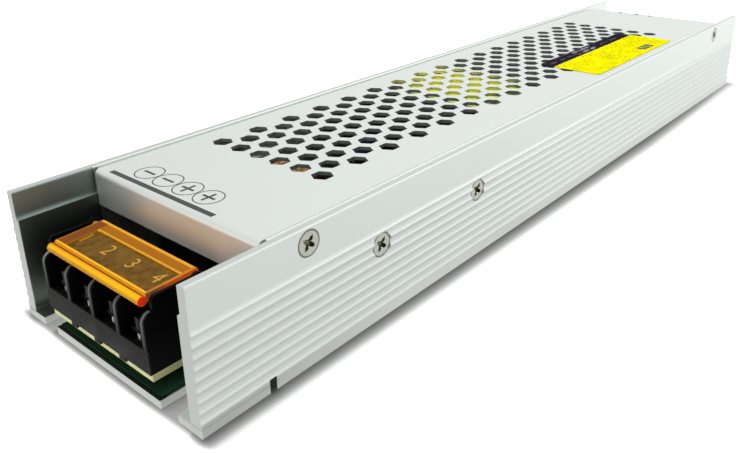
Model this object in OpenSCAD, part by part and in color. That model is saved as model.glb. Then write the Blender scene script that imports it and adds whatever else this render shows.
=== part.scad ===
// Slim LED power supply: a ribbed channel with a perforated cover, a circuit board
// and a screw terminal block with a hinged lid at each end. Millimetres, +Z up.
// The output end is at -X, the input end at +X, and the base plane is Z = 0.

/* [Channel] */
// Overall length of the extruded channel
body_l = 249; // [220:1:300]
// Overall width over the rib tips
body_w = 53.2; // [50:0.2:64]
// Overall height of the channel
body_h = 26; // [24:0.5:36]
// Thickness of a side wall, rib tips included
wall_t = 2.75; // [2.5:0.05:3.2]
// Thickness of the plain lip above the ledge
lip_t = 1.7; // [1.4:0.05:1.9]
// Height of the plain lip that takes the cover
lip_h = 5.4; // [5:0.1:7]
// Radius of the lip's upper edges
lip_r = 0.35; // [0.2:0.05:0.6]
// Thickness of the floor
floor_t = 1.5; // [1.2:0.1:2]
// Distance between two ribs on the outer wall
rib_pitch = 1.94; // [1.6:0.02:2.1]
// Number of rib edges on one wall
rib_count = 9; // [5:1:9]
// How far the ribs stand out from the plain lip
rib_h = 0.35; // [0.2:0.05:0.5]
// Width of the flat tip of a rib
rib_tip = 0.3; // [0.2:0.05:0.5]
// Height of the plain band at the foot of the wall
band_h = 2.5; // [2:0.1:4]

/* [Mounting slots] */
// Width of the open slots in the floor
slot_w = 4.6; // [4:0.1:6]
// Length of a slot from the end of the channel
slot_l = 8.5; // [6:0.5:12]
// Distance from a slot's middle to the side of the channel
slot_in = 8.2; // [7.5:0.05:9]

/* [Wall notch] */
// Distance from the output end to the middle of the notch
notch_x = 14.4; // [10:0.1:18]
// Width of the notch
notch_w = 1.5; // [1:0.1:3]
// Height of the notch
notch_h = 2.6; // [1.5:0.1:4]
// How far the notch runs on into the floor
notch_in = 3; // [0.5:0.1:4]

/* [Cover] */
// Thickness of the cover sheet
sheet_t = 0.8; // [0.6:0.1:1.2]
// Distance from the channel's end to the cover's end
cover_end = 15.7; // [15:0.1:20]
// Height of the flanges at the cover's ends
cover_drop = 7.4; // [6:0.1:9]
// Inner radius of the folds
bend_r = 0.4; // [0.3:0.1:1.2]
// How far the cover lies below the rim of the channel
cover_low = 0.3; // [0.1:0.05:0.5]
// Gap between the cover's sides and the lips
side_gap = 0.15; // [0.1:0.05:0.3]
// Distance between two holes in a row
hex_pitch = 5.84; // [5:0.02:6.4]
// Distance between two rows of holes
hex_row = 4.95; // [4.4:0.05:5.6]
// Radius of a hole, over the corners
hex_r = 2.25; // [1.8:0.05:2.5]
// Holes in a full row
hex_columns = 6; // [3:1:6]
// Distance from the cover's output end to the first row
hex_start = 25.6; // [20:0.1:40]
// Least distance from the last row to the cover's input end
hex_stop = 32; // [20:1:60]
// Sideways shift of the holes towards the left wall
hex_shift = 1.9; // [0:0.05:3]

/* [Label] */
// Length of the rating label
label_l = 54; // [40:1:70]
// Width of the rating label
label_w = 18.3; // [12:0.1:24]
// Thickness of the rating label
label_t = 0.15; // [0.1:0.05:0.2]
// Radius of the rating label's corners
label_r = 1.5; // [0.5:0.1:3]
// Distance from the label to the cover's input end
label_end = 39.3; // [20:0.1:60]
// Distance from the label to the cover's right edge
label_side = 2.2; // [2:0.1:6]

/* [Screws] */
// Thread diameter of the case screws
screw_d = 2.6; // [2.4:0.1:3.2]
// Head diameter of the case screws
head_d = 4.9; // [4.5:0.1:5.6]
// Height of the countersunk head
head_h = 1.2; // [1:0.05:1.5]
// Distance from a cover screw to the channel's end
cover_screw_in = 24.1; // [20:0.1:30]
// Metal left between a cover screw's head and the rim
rim_left = 0.55; // [0.35:0.05:0.8]
// Radial clearance of screws and pins in their holes
fit = 0.05; // [0.02:0.01:0.08]

/* [Board] */
// Thickness of the circuit board
board_t = 1.5; // [1.2:0.1:1.8]
// Height of the standoffs over the floor
board_gap = 2; // [1.6:0.1:2.4]
// Gap between the board and the side walls
board_side = 0.5; // [0.3:0.1:1]
// Distance from the board's end to the channel's end
board_end = 0.75; // [0.7:0.05:1.5]
// How far the board's end tongues stand out beside the terminal blocks
tongue_side = -0.2; // [-0.5:0.1:1]
// Thickness of the insulating sheet
film_t = 0.4; // [0.2:0.1:0.6]
// Thread diameter of the board screws
board_screw_d = 2.4; // [2:0.1:2.6]
// Diameter of a standoff
standoff_d = 6; // [5:0.1:6.4]

/* [Terminals] */
// Distance between two poles
pole_pitch = 7.62; // [7:0.02:8]
// Number of output poles
output_poles = 4; // [2:1:4]
// Number of input poles
input_poles = 3; // [2:1:4]
// Sideways shift of the output block towards the left wall
output_shift = 2; // [0:0.1:2.4]
// Sideways shift of the input block towards the left wall
input_shift = 2; // [0:0.1:3]
// Distance from a block's front to the channel's end
block_end = 0.3; // [0.2:0.05:0.6]
// Depth of a terminal block
block_d = 12.3; // [12:0.1:13]
// Thickness of the walls between two poles
pole_wall = 1.2; // [0.9:0.05:1.5]
// Height of the block's plain front under the poles
block_base = 4.4; // [4:0.1:5]
// Depth of a pole's chamber
chamber_d = 8.6; // [8.3:0.1:9]
// Distance from a block's front to the terminal plates
plate_front = 1.3; // [0.2:0.1:1.4]
// Thread diameter of the terminal screws
clamp_screw_d = 3.4; // [3:0.1:3.6]
// Head diameter of the terminal screws
clamp_head_d = 6; // [5.4:0.1:6.2]
// Thickness of the terminal plates
plate_t = 1; // [0.8:0.1:1.2]
// Thickness of the square washers
washer_t = 0.8; // [0.6:0.1:1]

/* [Lids] */
// Height of the lid's top over the board
lid_top = 14.2; // [14:0.1:15]
// Thickness of the lid's plate
lid_t = 1.4; // [1.2:0.1:1.6]
// Depth of the window in the lid
window_deep = 0.5; // [0.3:0.1:0.8]
// Distance from the pivot forward to the window
window_back = 1.75; // [1.4:0.05:2.5]
// Width of the rim between the window and the lid's right end
window_rim_right = 0.6; // [0.5:0.1:1]
// Width of the rim between the window and the lid's left end
window_rim_left = 2.7; // [0.6:0.1:3]
// Radius of the bead along the lid's front
bead_r = 0.8; // [0.7:0.05:1.3]
// How far the bead stays below the lid's top
bead_low = 0.15; // [0.1:0.05:0.3]
// Diameter of the lid's pivot pins
pivot_d = 1.4; // [1.2:0.1:2.2]
// Distance from the block's rear forward to the pivot
pivot_in = 1.7; // [1.7:0.1:2.2]
// Wall round a pivot hole
ear_wall = 0.45; // [0.4:0.05:0.8]
// How far the block's end walls stay below the lid's top
cheek_low = 0.6; // [0.4:0.1:1]
// Thickness of the block's end walls beside the lid
cheek_t = 0.6; // [0.5:0.05:0.8]
// Radius of the groove behind the bead
groove_r = 0.45; // [0.3:0.05:0.5]
// Width of the ridge between groove and window
ridge_w = 0.45; // [0.4:0.05:0.8]
// Gap between the lid's right end and the block's end wall
lid_gap = 0.35; // [0.2:0.05:0.8]
// Gap at the lid's left end, wide enough to slide the pins into their holes
lid_room = 2.15; // [0.8:0.05:2.4]
// How far the lid reaches behind its pivot
lid_back = 1; // [0.6:0.1:1.2]
// Angle by which a closed lid slopes down to its front
lid_tilt = 2.5; // [0:0.5:3]

/* [Power devices] */
// Distance from the ledge down to the screws that clamp the devices
device_screw_drop = 5.3; // [5:0.1:6]
// Distance from the output end to the first rectifier screw
rectifier_x = 42.3; // [40:0.1:46]
// Distance between the two rectifier screws
rectifier_span = 31.7; // [30:0.1:36]
// Distance from the transformer to the first transistor screw
transistor_gap = 7; // [6:0.5:12]
// Distance between the two transistor screws
transistor_span = 31.7; // [30:0.1:36]
// Thickness of the heat pads
pad_t = 0.3; // [0.2:0.05:0.5]
// Thickness of a device's body
device_t = 4.5; // [4:0.1:5]
// Width of a device
device_w = 10.2; // [9:0.1:11]
// Height of a device's metal back
device_h = 11; // [10.4:0.1:11.6]
// Height of a device's moulding
mould_h = 9.2; // [8.6:0.1:9.8]
// Distance from a device's lower edge up to the clamp screws
device_low = 6.8; // [6.4:0.1:7.2]
// Thickness of the clamp bars
clamp_t = 1.5; // [1.2:0.1:2]
// Height of the clamp bars
clamp_h = 8; // [7:0.1:9]

/* [Transformer] */
// Distance from the second rectifier screw to the transformer
transformer_gap = 21; // [20:0.5:28]
// Length of the core
core_l = 32; // [28:0.5:36]
// Width of the core
core_w = 36; // [30:0.5:38]
// Height of the core
core_h = 12; // [10:0.5:13]
// Thickness of the core's outer legs and backs
core_leg = 3.6; // [3:0.1:4.5]
// Width of the core's middle leg
core_mid = 10; // [8:0.1:12]
// Wall of the coil former
former_t = 1.2; // [0.8:0.1:1.6]
// Gap between the winding and the cover
cover_clear = 1.2; // [0.8:0.1:2]
// Gap between the core and the left wall
core_side = 1; // [0.8:0.1:3]

/* [Other components] */
// Diameter of the output capacitors
out_cap_d = 10; // [8:0.1:11]
// Height of the output capacitors
out_cap_h = 16; // [12:0.5:17]
// Diameter of the bulk capacitors
bulk_cap_d = 16; // [12.5:0.5:17]
// Length of the bulk capacitors
bulk_cap_l = 30; // [25:0.5:34]
// Diameter of the output choke's rod
choke_rod_d = 11; // [9:0.1:12]
// Wire diameter of the output choke
choke_wire = 1.8; // [1.4:0.1:2]
// Thickness of the sleeve between the choke's rod and its wire
choke_sleeve = 0.35; // [0.2:0.05:0.6]
// Number of turns on the output choke
choke_turns = 5; // [3:1:6]
// How far the choke's rod stands out of its winding
choke_over = 1; // [0.5:0.1:2]
// Outer diameter of the line choke's ring
ring_d = 20; // [16:0.5:21]
// Inner diameter of the line choke's ring
ring_bore = 11; // [10:0.5:12]
// Height of the line choke's ring
ring_h = 8; // [6:0.5:10]
// Thickness of the wire layer on the ring
ring_wire = 0.9; // [0.6:0.1:1.2]
// Height of the line filter capacitor
x_cap_h = 14; // [10:0.5:16]
// Width of the line filter capacitor
x_cap_w = 18; // [14:0.5:22]
// Thickness of the line filter capacitor
x_cap_l = 8; // [6:0.5:10]
// Width of the bridge rectifier
bridge_w = 22; // [18:0.5:26]
// Height of the bridge rectifier
bridge_h = 13; // [10:0.5:15]
// Thickness of the bridge rectifier
bridge_t = 3.5; // [3:0.1:4.5]
// Diameter of the safety capacitors
safety_d = 9; // [7:0.5:11]
// Thickness of the safety capacitors
safety_t = 3.5; // [3:0.1:4.5]
// Distance from the channel's middle to a safety capacitor
safety_y = 13; // [12:0.5:15]
// Diameter of the surge limiter
surge_d = 11; // [9:0.5:13]
// Thickness of the surge limiter
surge_t = 4; // [3:0.1:5]
// Diameter of the fuse's glass
fuse_d = 5; // [4.5:0.1:5.5]
// Length of the fuse
fuse_l = 20; // [18:0.5:22]

/* [Hidden] */
$fn = 48;
// Overlap of joined shapes, overshoot of cuts and clearance of parts that lie side by side
eps = 0.01;
over = 1;
slack = 0.1;

// Heights shared by the pieces
ledge_z = body_h - lip_h;
lip_in = rib_h + lip_t;
cover_top = body_h - cover_low;
cover_under = cover_top - sheet_t;
board_z = floor_t + board_gap;
board_top = board_z + board_t;
cover_screw_z = body_h - head_d / 2 - rim_left;

// Cover outline
cover_l = body_l - 2 * cover_end;
cover_w = body_w - 2 * (lip_in + side_gap);
fold_r = bend_r + sheet_t;
flange_in = wall_t - lip_in + slack;
hex_rows = floor((cover_l - hex_start - hex_stop) / hex_row) + 1;

// Terminal places
function block_w(poles) = poles * pole_pitch + pole_wall;
function block_y(poles, shift) = (body_w - block_w(poles)) / 2 + shift;
lead_w = 0.8;
clamp_a = chamber_d / 2;
plate_z = block_base;
washer_z = plate_z + plate_t;
clamp_head_z = washer_z + washer_t;
clamp_head_h = 2.2;
clamp_reach = 3;
pin_w = 1;
pin_a = chamber_d - pin_w - 4 * slack;
ear_r = pivot_d / 2 + fit + ear_wall;
pivot_a = block_d - pivot_in;
pivot_z = lid_top - lid_t;
bead_a = bead_r + slack;
groove_a = bead_a + bead_r / 2;
window_a = groove_a + groove_r + ridge_w;
// the lid's rear corner swings clear of the walls
pole_wall_h = pivot_z - norm([lid_back, lid_t]) - slack;

// Board pieces measured from the channel's right and left walls and ends
inner = wall_t + board_side;
notch_end = board_end + slot_l + slot_w / 2 + 2;
standoff_in = wall_t + 4.6;
middle_x = rectifier_x + rectifier_span + 11;
standoff_places = [for (x = [notch_end + 6, middle_x, body_l - notch_end - 6])
    for (y = [standoff_in, body_w - standoff_in]) [x, y]];
device_screw_z = ledge_z - device_screw_drop;
device_z = device_screw_z - device_low;
case_screw_l = wall_t - rib_h + pad_t + device_t + clamp_t + over;
transformer_x = rectifier_x + rectifier_span + transformer_gap;
transistor_x = transformer_x + core_l + transistor_gap;
core_y = body_w - wall_t - core_side - core_w;
core_z = (board_top + cover_under) / 2 - core_h / 2;
window_y = (core_w - 2 * core_leg - core_mid) / 2;
out_cap_step = out_cap_d + 1.5;
out_cap_x = notch_end + out_cap_d / 2 + 6.5;
choke_d = choke_rod_d + 2 * (fit + choke_sleeve + choke_wire);
choke_x = out_cap_x + out_cap_step + (out_cap_d + choke_d) / 2 + 5 * slack;
choke_y = body_w / 2 + 5.5;
choke_l = choke_turns * choke_wire;
choke_end = choke_y + choke_l / 2 + choke_over;
bulk_x = transformer_x + core_l + 4;
x_cap_x = body_l - cover_end - sheet_t - 1.5 - x_cap_l;
ring_x = x_cap_x - 1.5 - ring_wire - ring_d / 2;
ring_y = body_w / 2 + 3;
ring_base_t = 1.5;
fuse_z = fuse_d / 2 + 1.2;

// Moves a piece from the corner of the channel to the middle of its base
module from_corner() {
    translate([-body_l / 2, -body_w / 2, 0]) children();
}

// Carries an outline drawn in Y and Z along X
module along_x(length) {
    rotate([90, 0, 90]) linear_extrude(length) children();
}

// Carries an outline drawn in X and Z along Y
module along_y(length) {
    translate([0, length, 0]) rotate([90, 0, 0]) linear_extrude(length) children();
}

// Puts a screw or hole on the right wall, its axis pointing inwards
module on_right_wall(x, z) {
    translate([-body_l / 2 + x, -body_w / 2, z]) rotate([-90, 0, 0]) children();
}

// Puts a screw or hole on the left wall, its axis pointing inwards
module on_left_wall(x, z) {
    mirror([0, 1, 0]) on_right_wall(x, z) children();
}

// Puts a terminal piece at the output end
module at_output() {
    translate([-body_l / 2 + block_end, -body_w / 2 + block_y(output_poles, output_shift), board_top])
        children();
}

// Puts a terminal piece at the input end, turned to face outwards
module at_input() {
    translate([body_l / 2 - block_end, -body_w / 2 + block_y(input_poles, input_shift), board_top])
        mirror([1, 0, 0]) children();
}

// Rectangle with its two upper corners rounded
module arched(w, h, r) {
    square([w, h - r]);
    translate([r, h - r - eps]) square([w - 2 * r, r + eps]);
    translate([r, h - r]) circle(r);
    translate([w - r, h - r]) circle(r);
}

// Rectangle with four round corners
module rounded(w, h, r) {
    translate([r, 0]) square([w - 2 * r, h]);
    translate([0, r]) square([w, h - 2 * r]);
    for (x = [r, w - r], y = [r, h - r]) translate([x, y]) circle(r);
}

// Hollow U of folded sheet, open below
module folded(w, h) {
    difference() {
        arched(w, h, fold_r);
        translate([sheet_t, -over]) arched(w - 2 * sheet_t, h - sheet_t + over, bend_r);
    }
}

// Cross recess of a screw head, cut downwards from the top of the head
module cross_recess(size, deep) {
    tip = size / 2;
    bend = size / 3;
    half = size / 8;
    translate([0, 0, -eps]) linear_extrude(deep + eps) for (turn = [0, 90]) rotate(turn)
        polygon([[-tip, 0], [-bend, -half], [bend, -half], [tip, 0], [bend, half], [-bend, half]]);
    cylinder(h = 1.2 * deep, d1 = size / 2, d2 = size / 8);
}

// Countersunk screw, the top of its head at zero and its point upwards
module countersunk_screw(length) {
    difference() {
        union() {
            cylinder(h = head_h, d1 = head_d, d2 = screw_d);
            cylinder(h = length, d = screw_d);
        }
        rotate(35) cross_recess(head_d * 0.66, head_h * 0.6);
    }
}

// Hole for a countersunk screw whose head lies at the level of the plain lip
module countersunk_hole(depth) {
    translate([0, 0, -over]) cylinder(h = depth + over, d = screw_d + 2 * fit);
    translate([0, 0, -over]) cylinder(h = rib_h + over, d = head_d + 2 * fit);
    translate([0, 0, rib_h]) cylinder(h = head_h, d1 = head_d + 2 * fit, d2 = screw_d + 2 * fit);
}

// Places of the four cover screws
module cover_screw_places() {
    for (x = [cover_screw_in, body_l - cover_screw_in]) {
        on_right_wall(x, cover_screw_z) children();
        on_left_wall(x, cover_screw_z) children();
    }
}

// Section of the right wall: round-edged lip, ledge, scalloped flutes and plain foot band
module wall_outline() {
    flutes_h = band_h + (rib_count - 0.5) * rib_pitch;
    half_chord = (rib_pitch - rib_tip) / 2;
    flute_r = (half_chord * half_chord + rib_h * rib_h) / (2 * rib_h);
    translate([rib_h, 0]) square([wall_t - rib_h, ledge_z]);
    translate([rib_h, 0]) arched(lip_t, body_h, lip_r);
    difference() {
        square([rib_h + eps, flutes_h]);
        for (i = [0 : rib_count - 1])
            translate([rib_h - flute_r, band_h + (i + 0.5) * rib_pitch]) circle(flute_r);
    }
}

// Extruded and milled aluminium channel
module channel_body() {
    color("#cfd5d0") difference() {
        from_corner() along_x(body_l) {
            wall_outline();
            translate([body_w, 0]) mirror([1, 0]) wall_outline();
            square([body_w, floor_t]);
        }
        // open mounting slots at both ends
        for (x = [0, body_l], y = [slot_in, body_w - slot_in]) from_corner() translate([x, y, -over]) {
            translate([-slot_l + slot_w / 2, -slot_w / 2, 0])
                cube([2 * slot_l - slot_w, slot_w, floor_t + 2 * over]);
            for (end = [-1, 1]) translate([end * (slot_l - slot_w / 2), 0, 0])
                cylinder(h = floor_t + 2 * over, d = slot_w);
        }
        // small notch in the foot of the right wall
        from_corner() translate([notch_x - notch_w / 2, -over, -over])
            cube([notch_w, wall_t + notch_in + over, notch_h + over]);
        cover_screw_places() countersunk_hole(wall_t);
        for (i = [0, 1]) {
            on_right_wall(rectifier_x + i * rectifier_span, device_screw_z)
                countersunk_hole(wall_t + over);
            on_left_wall(transistor_x + i * transistor_span, device_screw_z)
                countersunk_hole(wall_t + over);
        }
        // holes for the pressed-in standoffs
        for (p = standoff_places) from_corner() translate([p.x, p.y, -over])
            cylinder(h = floor_t + 2 * over, d = standoff_d - 2 + 2 * fit);
    }
}

// Perforated cover folded from one sheet, its side flanges standing on the ledges
module top_cover() {
    side_h = cover_top - ledge_z;
    relief = fold_r + 4 * slack;
    color("#d9deda") difference() {
        from_corner() translate([cover_end, lip_in + side_gap, 0]) {
            translate([relief, 0, ledge_z]) along_x(cover_l - 2 * relief) folded(cover_w, side_h);
            translate([0, flange_in, cover_top - cover_drop])
                along_y(cover_w - 2 * flange_in) folded(cover_l, cover_drop);
        }
        from_corner() translate([cover_end + hex_start, body_w / 2 + hex_shift, cover_under - over]) {
            for (row = [0 : hex_rows - 1]) {
                holes = hex_columns - row % 2;
                for (i = [0 : holes - 1])
                    translate([row * hex_row, (i - (holes - 1) / 2) * hex_pitch, 0])
                        cylinder(h = sheet_t + 2 * over, r = hex_r, $fn = 6);
            }
        }
        cover_screw_places() cylinder(h = lip_in + side_gap + sheet_t + over, d = screw_d + 2 * fit);
    }
}

// Countersunk screws that hold the cover's side flanges
module cover_screws() {
    color("#b9b6a4") cover_screw_places() translate([0, 0, rib_h])
        countersunk_screw(lip_t + side_gap + sheet_t + 1.2);
}

// Plain printed label on the cover
module rating_label() {
    color("#fff000") from_corner()
        translate([body_l - cover_end - label_end - label_l, lip_in + side_gap + label_side, cover_top])
            linear_extrude(label_t) rounded(label_l, label_w, label_r);
}

// Outline of the film or board: full width between the walls, narrower beside the end slots
module stepped_outline(end_gap, side, tongues) {
    translate([notch_end, side]) square([body_l - 2 * notch_end, body_w - 2 * side]);
    translate([end_gap, tongues[0][0]]) square([notch_end - end_gap + eps, tongues[0][1]]);
    translate([body_l - notch_end - eps, tongues[1][0]]) square([notch_end - end_gap + eps, tongues[1][1]]);
}

// Green insulating sheet between the floor and the board
module insulating_sheet() {
    edge = slot_in + slot_w / 2 + 0.4;
    tongue = [edge, body_w - 2 * edge];
    color("#1f3a2e") from_corner() translate([0, 0, floor_t]) linear_extrude(film_t) difference() {
        stepped_outline(board_end, wall_t + 0.3, [tongue, tongue]);
        for (p = standoff_places) translate(p) circle(d = standoff_d + 0.6);
    }
}

// Circuit board with a narrow tongue under each terminal block
module main_board() {
    tongues = [for (t = [[output_poles, output_shift], [input_poles, input_shift]])
        [block_y(t[0], t[1]) - tongue_side, block_w(t[0]) + 2 * tongue_side]];
    color("#d8d79a") difference() {
        from_corner() translate([0, 0, board_z]) linear_extrude(board_t) difference() {
            stepped_outline(board_end, inner, tongues);
            for (p = standoff_places) translate(p) circle(d = board_screw_d + 0.6);
        }
        at_output() pole_places(output_poles) pin_hole();
        at_input() pole_places(input_poles) pin_hole();
    }
}

// Standoffs pressed into the floor, drilled for the board screws
module board_standoffs() {
    color("#c9b37a") for (p = standoff_places) from_corner() translate([p.x, p.y, 0]) difference() {
        union() {
            cylinder(h = floor_t, d = standoff_d - 2);
            translate([0, 0, floor_t]) cylinder(h = board_gap, d = standoff_d);
        }
        translate([0, 0, 0.5]) cylinder(h = floor_t + board_gap, d = board_screw_d + 2 * fit);
    }
}

// Cheese-head screws that hold the board on its standoffs
module board_screws() {
    head_w = board_screw_d * 2.2;
    head_tall = 1.8;
    color("#b9b6a4") for (p = standoff_places) from_corner() translate([p.x, p.y, 0]) difference() {
        union() {
            translate([0, 0, 1]) cylinder(h = board_top - 1, d = board_screw_d);
            translate([0, 0, board_top]) cylinder(h = head_tall, d = head_w);
        }
        translate([0, 0, board_top + head_tall]) mirror([0, 0, 1])
            cross_recess(head_w * 0.6, head_tall * 0.5);
    }
}

// Middle of each pole of a terminal block, at the block's front
module pole_places(poles) {
    for (i = [0 : poles - 1]) translate([0, pole_wall / 2 + (i + 0.5) * pole_pitch, 0]) children();
}

// Square hole for a plate's solder pin through the block's base and the board
module pin_hole() {
    side = pin_w + 2 * slack;
    translate([pin_a - slack, -side / 2, -board_t - over])
        cube([side, side, board_t + block_base + 2 * over]);
}

// Side outline of a wall between two poles, rounded at its front
module pole_wall_outline() {
    round_r = 1.8;
    square([block_d, pole_wall_h - round_r]);
    translate([round_r, 0]) square([block_d - round_r, pole_wall_h]);
    translate([round_r, pole_wall_h - round_r]) circle(round_r);
}

// Side outline of a cheek, the thin upper part of an end wall, with an ear round the pivot hole
module cheek_outline() {
    cheek_a = 1.8;
    cheek_r = 0.9;
    difference() {
        union() {
            translate([cheek_a, 0]) arched(block_d - cheek_a, lid_top - cheek_low, cheek_r);
            translate([pivot_a, pivot_z]) circle(ear_r);
        }
        translate([pivot_a, pivot_z]) circle(d = pivot_d + 2 * fit);
    }
}

// Moulded terminal block: base, rear wall, pole walls and end walls with cheeks beside the lid
module terminal_block(poles) {
    width = block_w(poles);
    foot_w = 1.8;
    foot_h = 0.8;
    difference() {
        union() {
            cube([block_d, width, block_base]);
            translate([chamber_d, 0, 0]) cube([block_d - chamber_d, width, pole_wall_h]);
            for (i = [0 : poles]) translate([0, i * pole_pitch, 0]) along_y(pole_wall) pole_wall_outline();
            for (y = [0, width - cheek_t]) translate([0, y, 0]) along_y(cheek_t) cheek_outline();
            // small feet that hook over the board's edge
            if (poles > 1) for (i = [1 : poles - 1])
                translate([0, i * pole_pitch + (pole_wall - foot_w) / 2, -foot_h])
                    cube([board_end - block_end - fit, foot_w, foot_h + eps]);
        }
        pole_places(poles) {
            pin_hole();
            translate([clamp_a, 0, plate_z - clamp_reach])
                cylinder(h = clamp_reach + over, d = clamp_screw_d + 6 * slack);
        }
    }
}

// Terminal plates with a solder pin, one on the floor of each chamber
module terminal_plates(poles) {
    plate_w = pole_pitch - pole_wall - 0.4;
    plate_l = chamber_d - plate_front - 0.2;
    pin_l = plate_z + board_t + 0.8;
    pole_places(poles) difference() {
        union() {
            translate([plate_front, -plate_w / 2, plate_z]) cube([plate_l, plate_w, plate_t]);
            translate([pin_a, -pin_w / 2, plate_z - pin_l]) cube([pin_w, pin_w, pin_l + eps]);
        }
        translate([clamp_a, 0, plate_z - over])
            cylinder(h = plate_t + 2 * over, d = clamp_screw_d + 2 * fit);
    }
}

// Square washers under the terminal screws
module terminal_washers(poles) {
    side = pole_pitch - pole_wall - 0.5;
    pole_places(poles) difference() {
        translate([clamp_a - side / 2, -side / 2, washer_z]) cube([side, side, washer_t]);
        translate([clamp_a, 0, washer_z - over])
            cylinder(h = washer_t + 2 * over, d = clamp_screw_d + 2 * fit);
    }
}

// Cross-head terminal screws
module terminal_screws(poles) {
    reach = plate_t + washer_t + clamp_reach - 0.4;
    pole_places(poles) translate([clamp_a, 0, clamp_head_z]) difference() {
        union() {
            cylinder(h = clamp_head_h, d = min(clamp_head_d, pole_pitch - pole_wall - 0.2));
            translate([0, 0, -reach]) cylinder(h = reach + eps, d = clamp_screw_d);
        }
        translate([0, 0, clamp_head_h]) mirror([0, 0, 1])
            cross_recess(clamp_head_d * 0.6, clamp_head_h * 0.5);
    }
}

// Section of the lid's bead, which is also its finger grip
module bead_outline() {
    translate([bead_a, lid_top - bead_low - bead_r]) circle(bead_r);
}

// Section of the lid's plate: a groove behind the bead, a ridge, and a round rear edge
module plate_outline() {
    edge_r = 0.5;
    difference() {
        translate([bead_a, lid_top - lid_t]) rounded(pivot_a + lid_back - bead_a, lid_t, edge_r);
        translate([bead_a - over, lid_top - groove_r]) square([groove_a - bead_a + over, groove_r + over]);
        translate([groove_a, lid_top]) circle(groove_r);
    }
}

// Translucent hinged lid: plate with bead and sunk window, end skirts and two pivot pins
module terminal_lid(poles) {
    width = block_w(poles);
    lid_y = cheek_t + lid_gap;
    lid_end = width - cheek_t - lid_room;
    lid_w = lid_end - lid_y;
    skirt_t = 0.9;
    skirt_a = 3.2;
    skirt_l = pivot_a + lid_back - skirt_a;
    skirt_h = lid_t + 0.6;
    pin_start = slack;
    translate([pivot_a, 0, pivot_z]) rotate([0, -lid_tilt, 0]) translate([-pivot_a, 0, -pivot_z]) {
        translate([0, lid_y, 0]) along_y(lid_w) bead_outline();
        difference() {
            union() {
                translate([0, lid_y, 0]) along_y(lid_w) plate_outline();
                for (y = [lid_y, lid_end - skirt_t])
                    translate([skirt_a, y, lid_top - skirt_h]) cube([skirt_l, skirt_t, skirt_h - lid_t / 2]);
                for (pin = [[pin_start, lid_y + eps], [lid_end - eps, width - pin_start]])
                    translate([pivot_a, pin[0], pivot_z]) rotate([-90, 0, 0])
                        cylinder(h = pin[1] - pin[0], d = pivot_d);
            }
            translate([window_a, lid_y + window_rim_right, lid_top - window_deep])
                cube([pivot_a - window_back - window_a, lid_w - window_rim_right - window_rim_left,
                    window_deep + over]);
        }
    }
}

module output_block() { color("#161616") at_output() terminal_block(output_poles); }
module output_plates() { color("#2a2a2c") at_output() terminal_plates(output_poles); }
module output_washers() { color("#2f2f31") at_output() terminal_washers(output_poles); }
module output_clamp_screws() { color("#2f2f31") at_output() terminal_screws(output_poles); }
module output_lid() { color("#f5a000") at_output() terminal_lid(output_poles); }
module input_block() { color("#161616") at_input() terminal_block(input_poles); }
module input_plates() { color("#2a2a2c") at_input() terminal_plates(input_poles); }
module input_washers() { color("#2f2f31") at_input() terminal_washers(input_poles); }
module input_clamp_screws() { color("#2f2f31") at_input() terminal_screws(input_poles); }
module input_lid() { color("#f5a000") at_input() terminal_lid(input_poles); }

// Places of the two devices between a pair of clamp screws
module device_places(span) {
    for (i = [-1, 1]) translate([span / 2 + i * (device_w / 2 + 2 * slack), 0, 0]) children();
}

// Moulded device with its metal back on the pad and three leads down to the board
module power_device() {
    lead_pitch = 2.54;
    back_t = 1.3;
    translate([-device_w / 2, wall_t + pad_t, device_z]) cube([device_w, back_t, device_h]);
    translate([-device_w / 2 + slack, wall_t + pad_t, device_z])
        cube([device_w - 2 * slack, device_t, mould_h]);
    for (i = [-1, 0, 1])
        translate([i * lead_pitch - lead_w / 2, wall_t + pad_t + device_t - 2, board_top])
            cube([lead_w, lead_w / 2, device_z - board_top + eps]);
}

// Heat pad between the devices and the wall
module heat_pad(span) {
    margin = 0.9;
    pad_w = 2 * device_w + 4 * slack + 2 * margin;
    translate([(span - pad_w) / 2, wall_t, device_z - margin]) cube([pad_w, pad_t, device_h + 2 * margin]);
}

// Steel bar that presses two devices to the wall
module clamp_bar(span) {
    margin = 4;
    difference() {
        translate([-margin, wall_t + pad_t + device_t, device_screw_z - clamp_h / 2])
            cube([span + 2 * margin, clamp_t, clamp_h]);
        for (x = [0, span]) translate([x, 0, device_screw_z]) rotate([-90, 0, 0])
            cylinder(h = wall_t + pad_t + device_t + clamp_t + over, d = screw_d + 2 * fit);
    }
}

module at_rectifiers() {
    from_corner() translate([rectifier_x, 0, 0]) children();
}

module at_transistors() {
    mirror([0, 1, 0]) from_corner() translate([transistor_x, 0, 0]) children();
}

module rectifiers() { color("#1c1c1e") at_rectifiers() device_places(rectifier_span) power_device(); }
module rectifier_pad() { color("#9aa3a8") at_rectifiers() heat_pad(rectifier_span); }
module rectifier_clamp() { color("#b4b6b8") at_rectifiers() clamp_bar(rectifier_span); }

// Countersunk screws through the right wall into the rectifiers' clamp
module rectifier_screws() {
    color("#b9b6a4") for (i = [0, 1])
        on_right_wall(rectifier_x + i * rectifier_span, device_screw_z)
            translate([0, 0, rib_h]) countersunk_screw(case_screw_l);
}

module transistors() { color("#1c1c1e") at_transistors() device_places(transistor_span) power_device(); }
module transistor_pad() { color("#9aa3a8") at_transistors() heat_pad(transistor_span); }
module transistor_clamp() { color("#b4b6b8") at_transistors() clamp_bar(transistor_span); }

// Countersunk screws through the left wall into the transistors' clamp
module transistor_screws() {
    color("#b9b6a4") for (i = [0, 1])
        on_left_wall(transistor_x + i * transistor_span, device_screw_z)
            translate([0, 0, rib_h]) countersunk_screw(case_screw_l);
}

module at_transformer() {
    from_corner() translate([transformer_x, core_y, core_z]) children();
}

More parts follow.
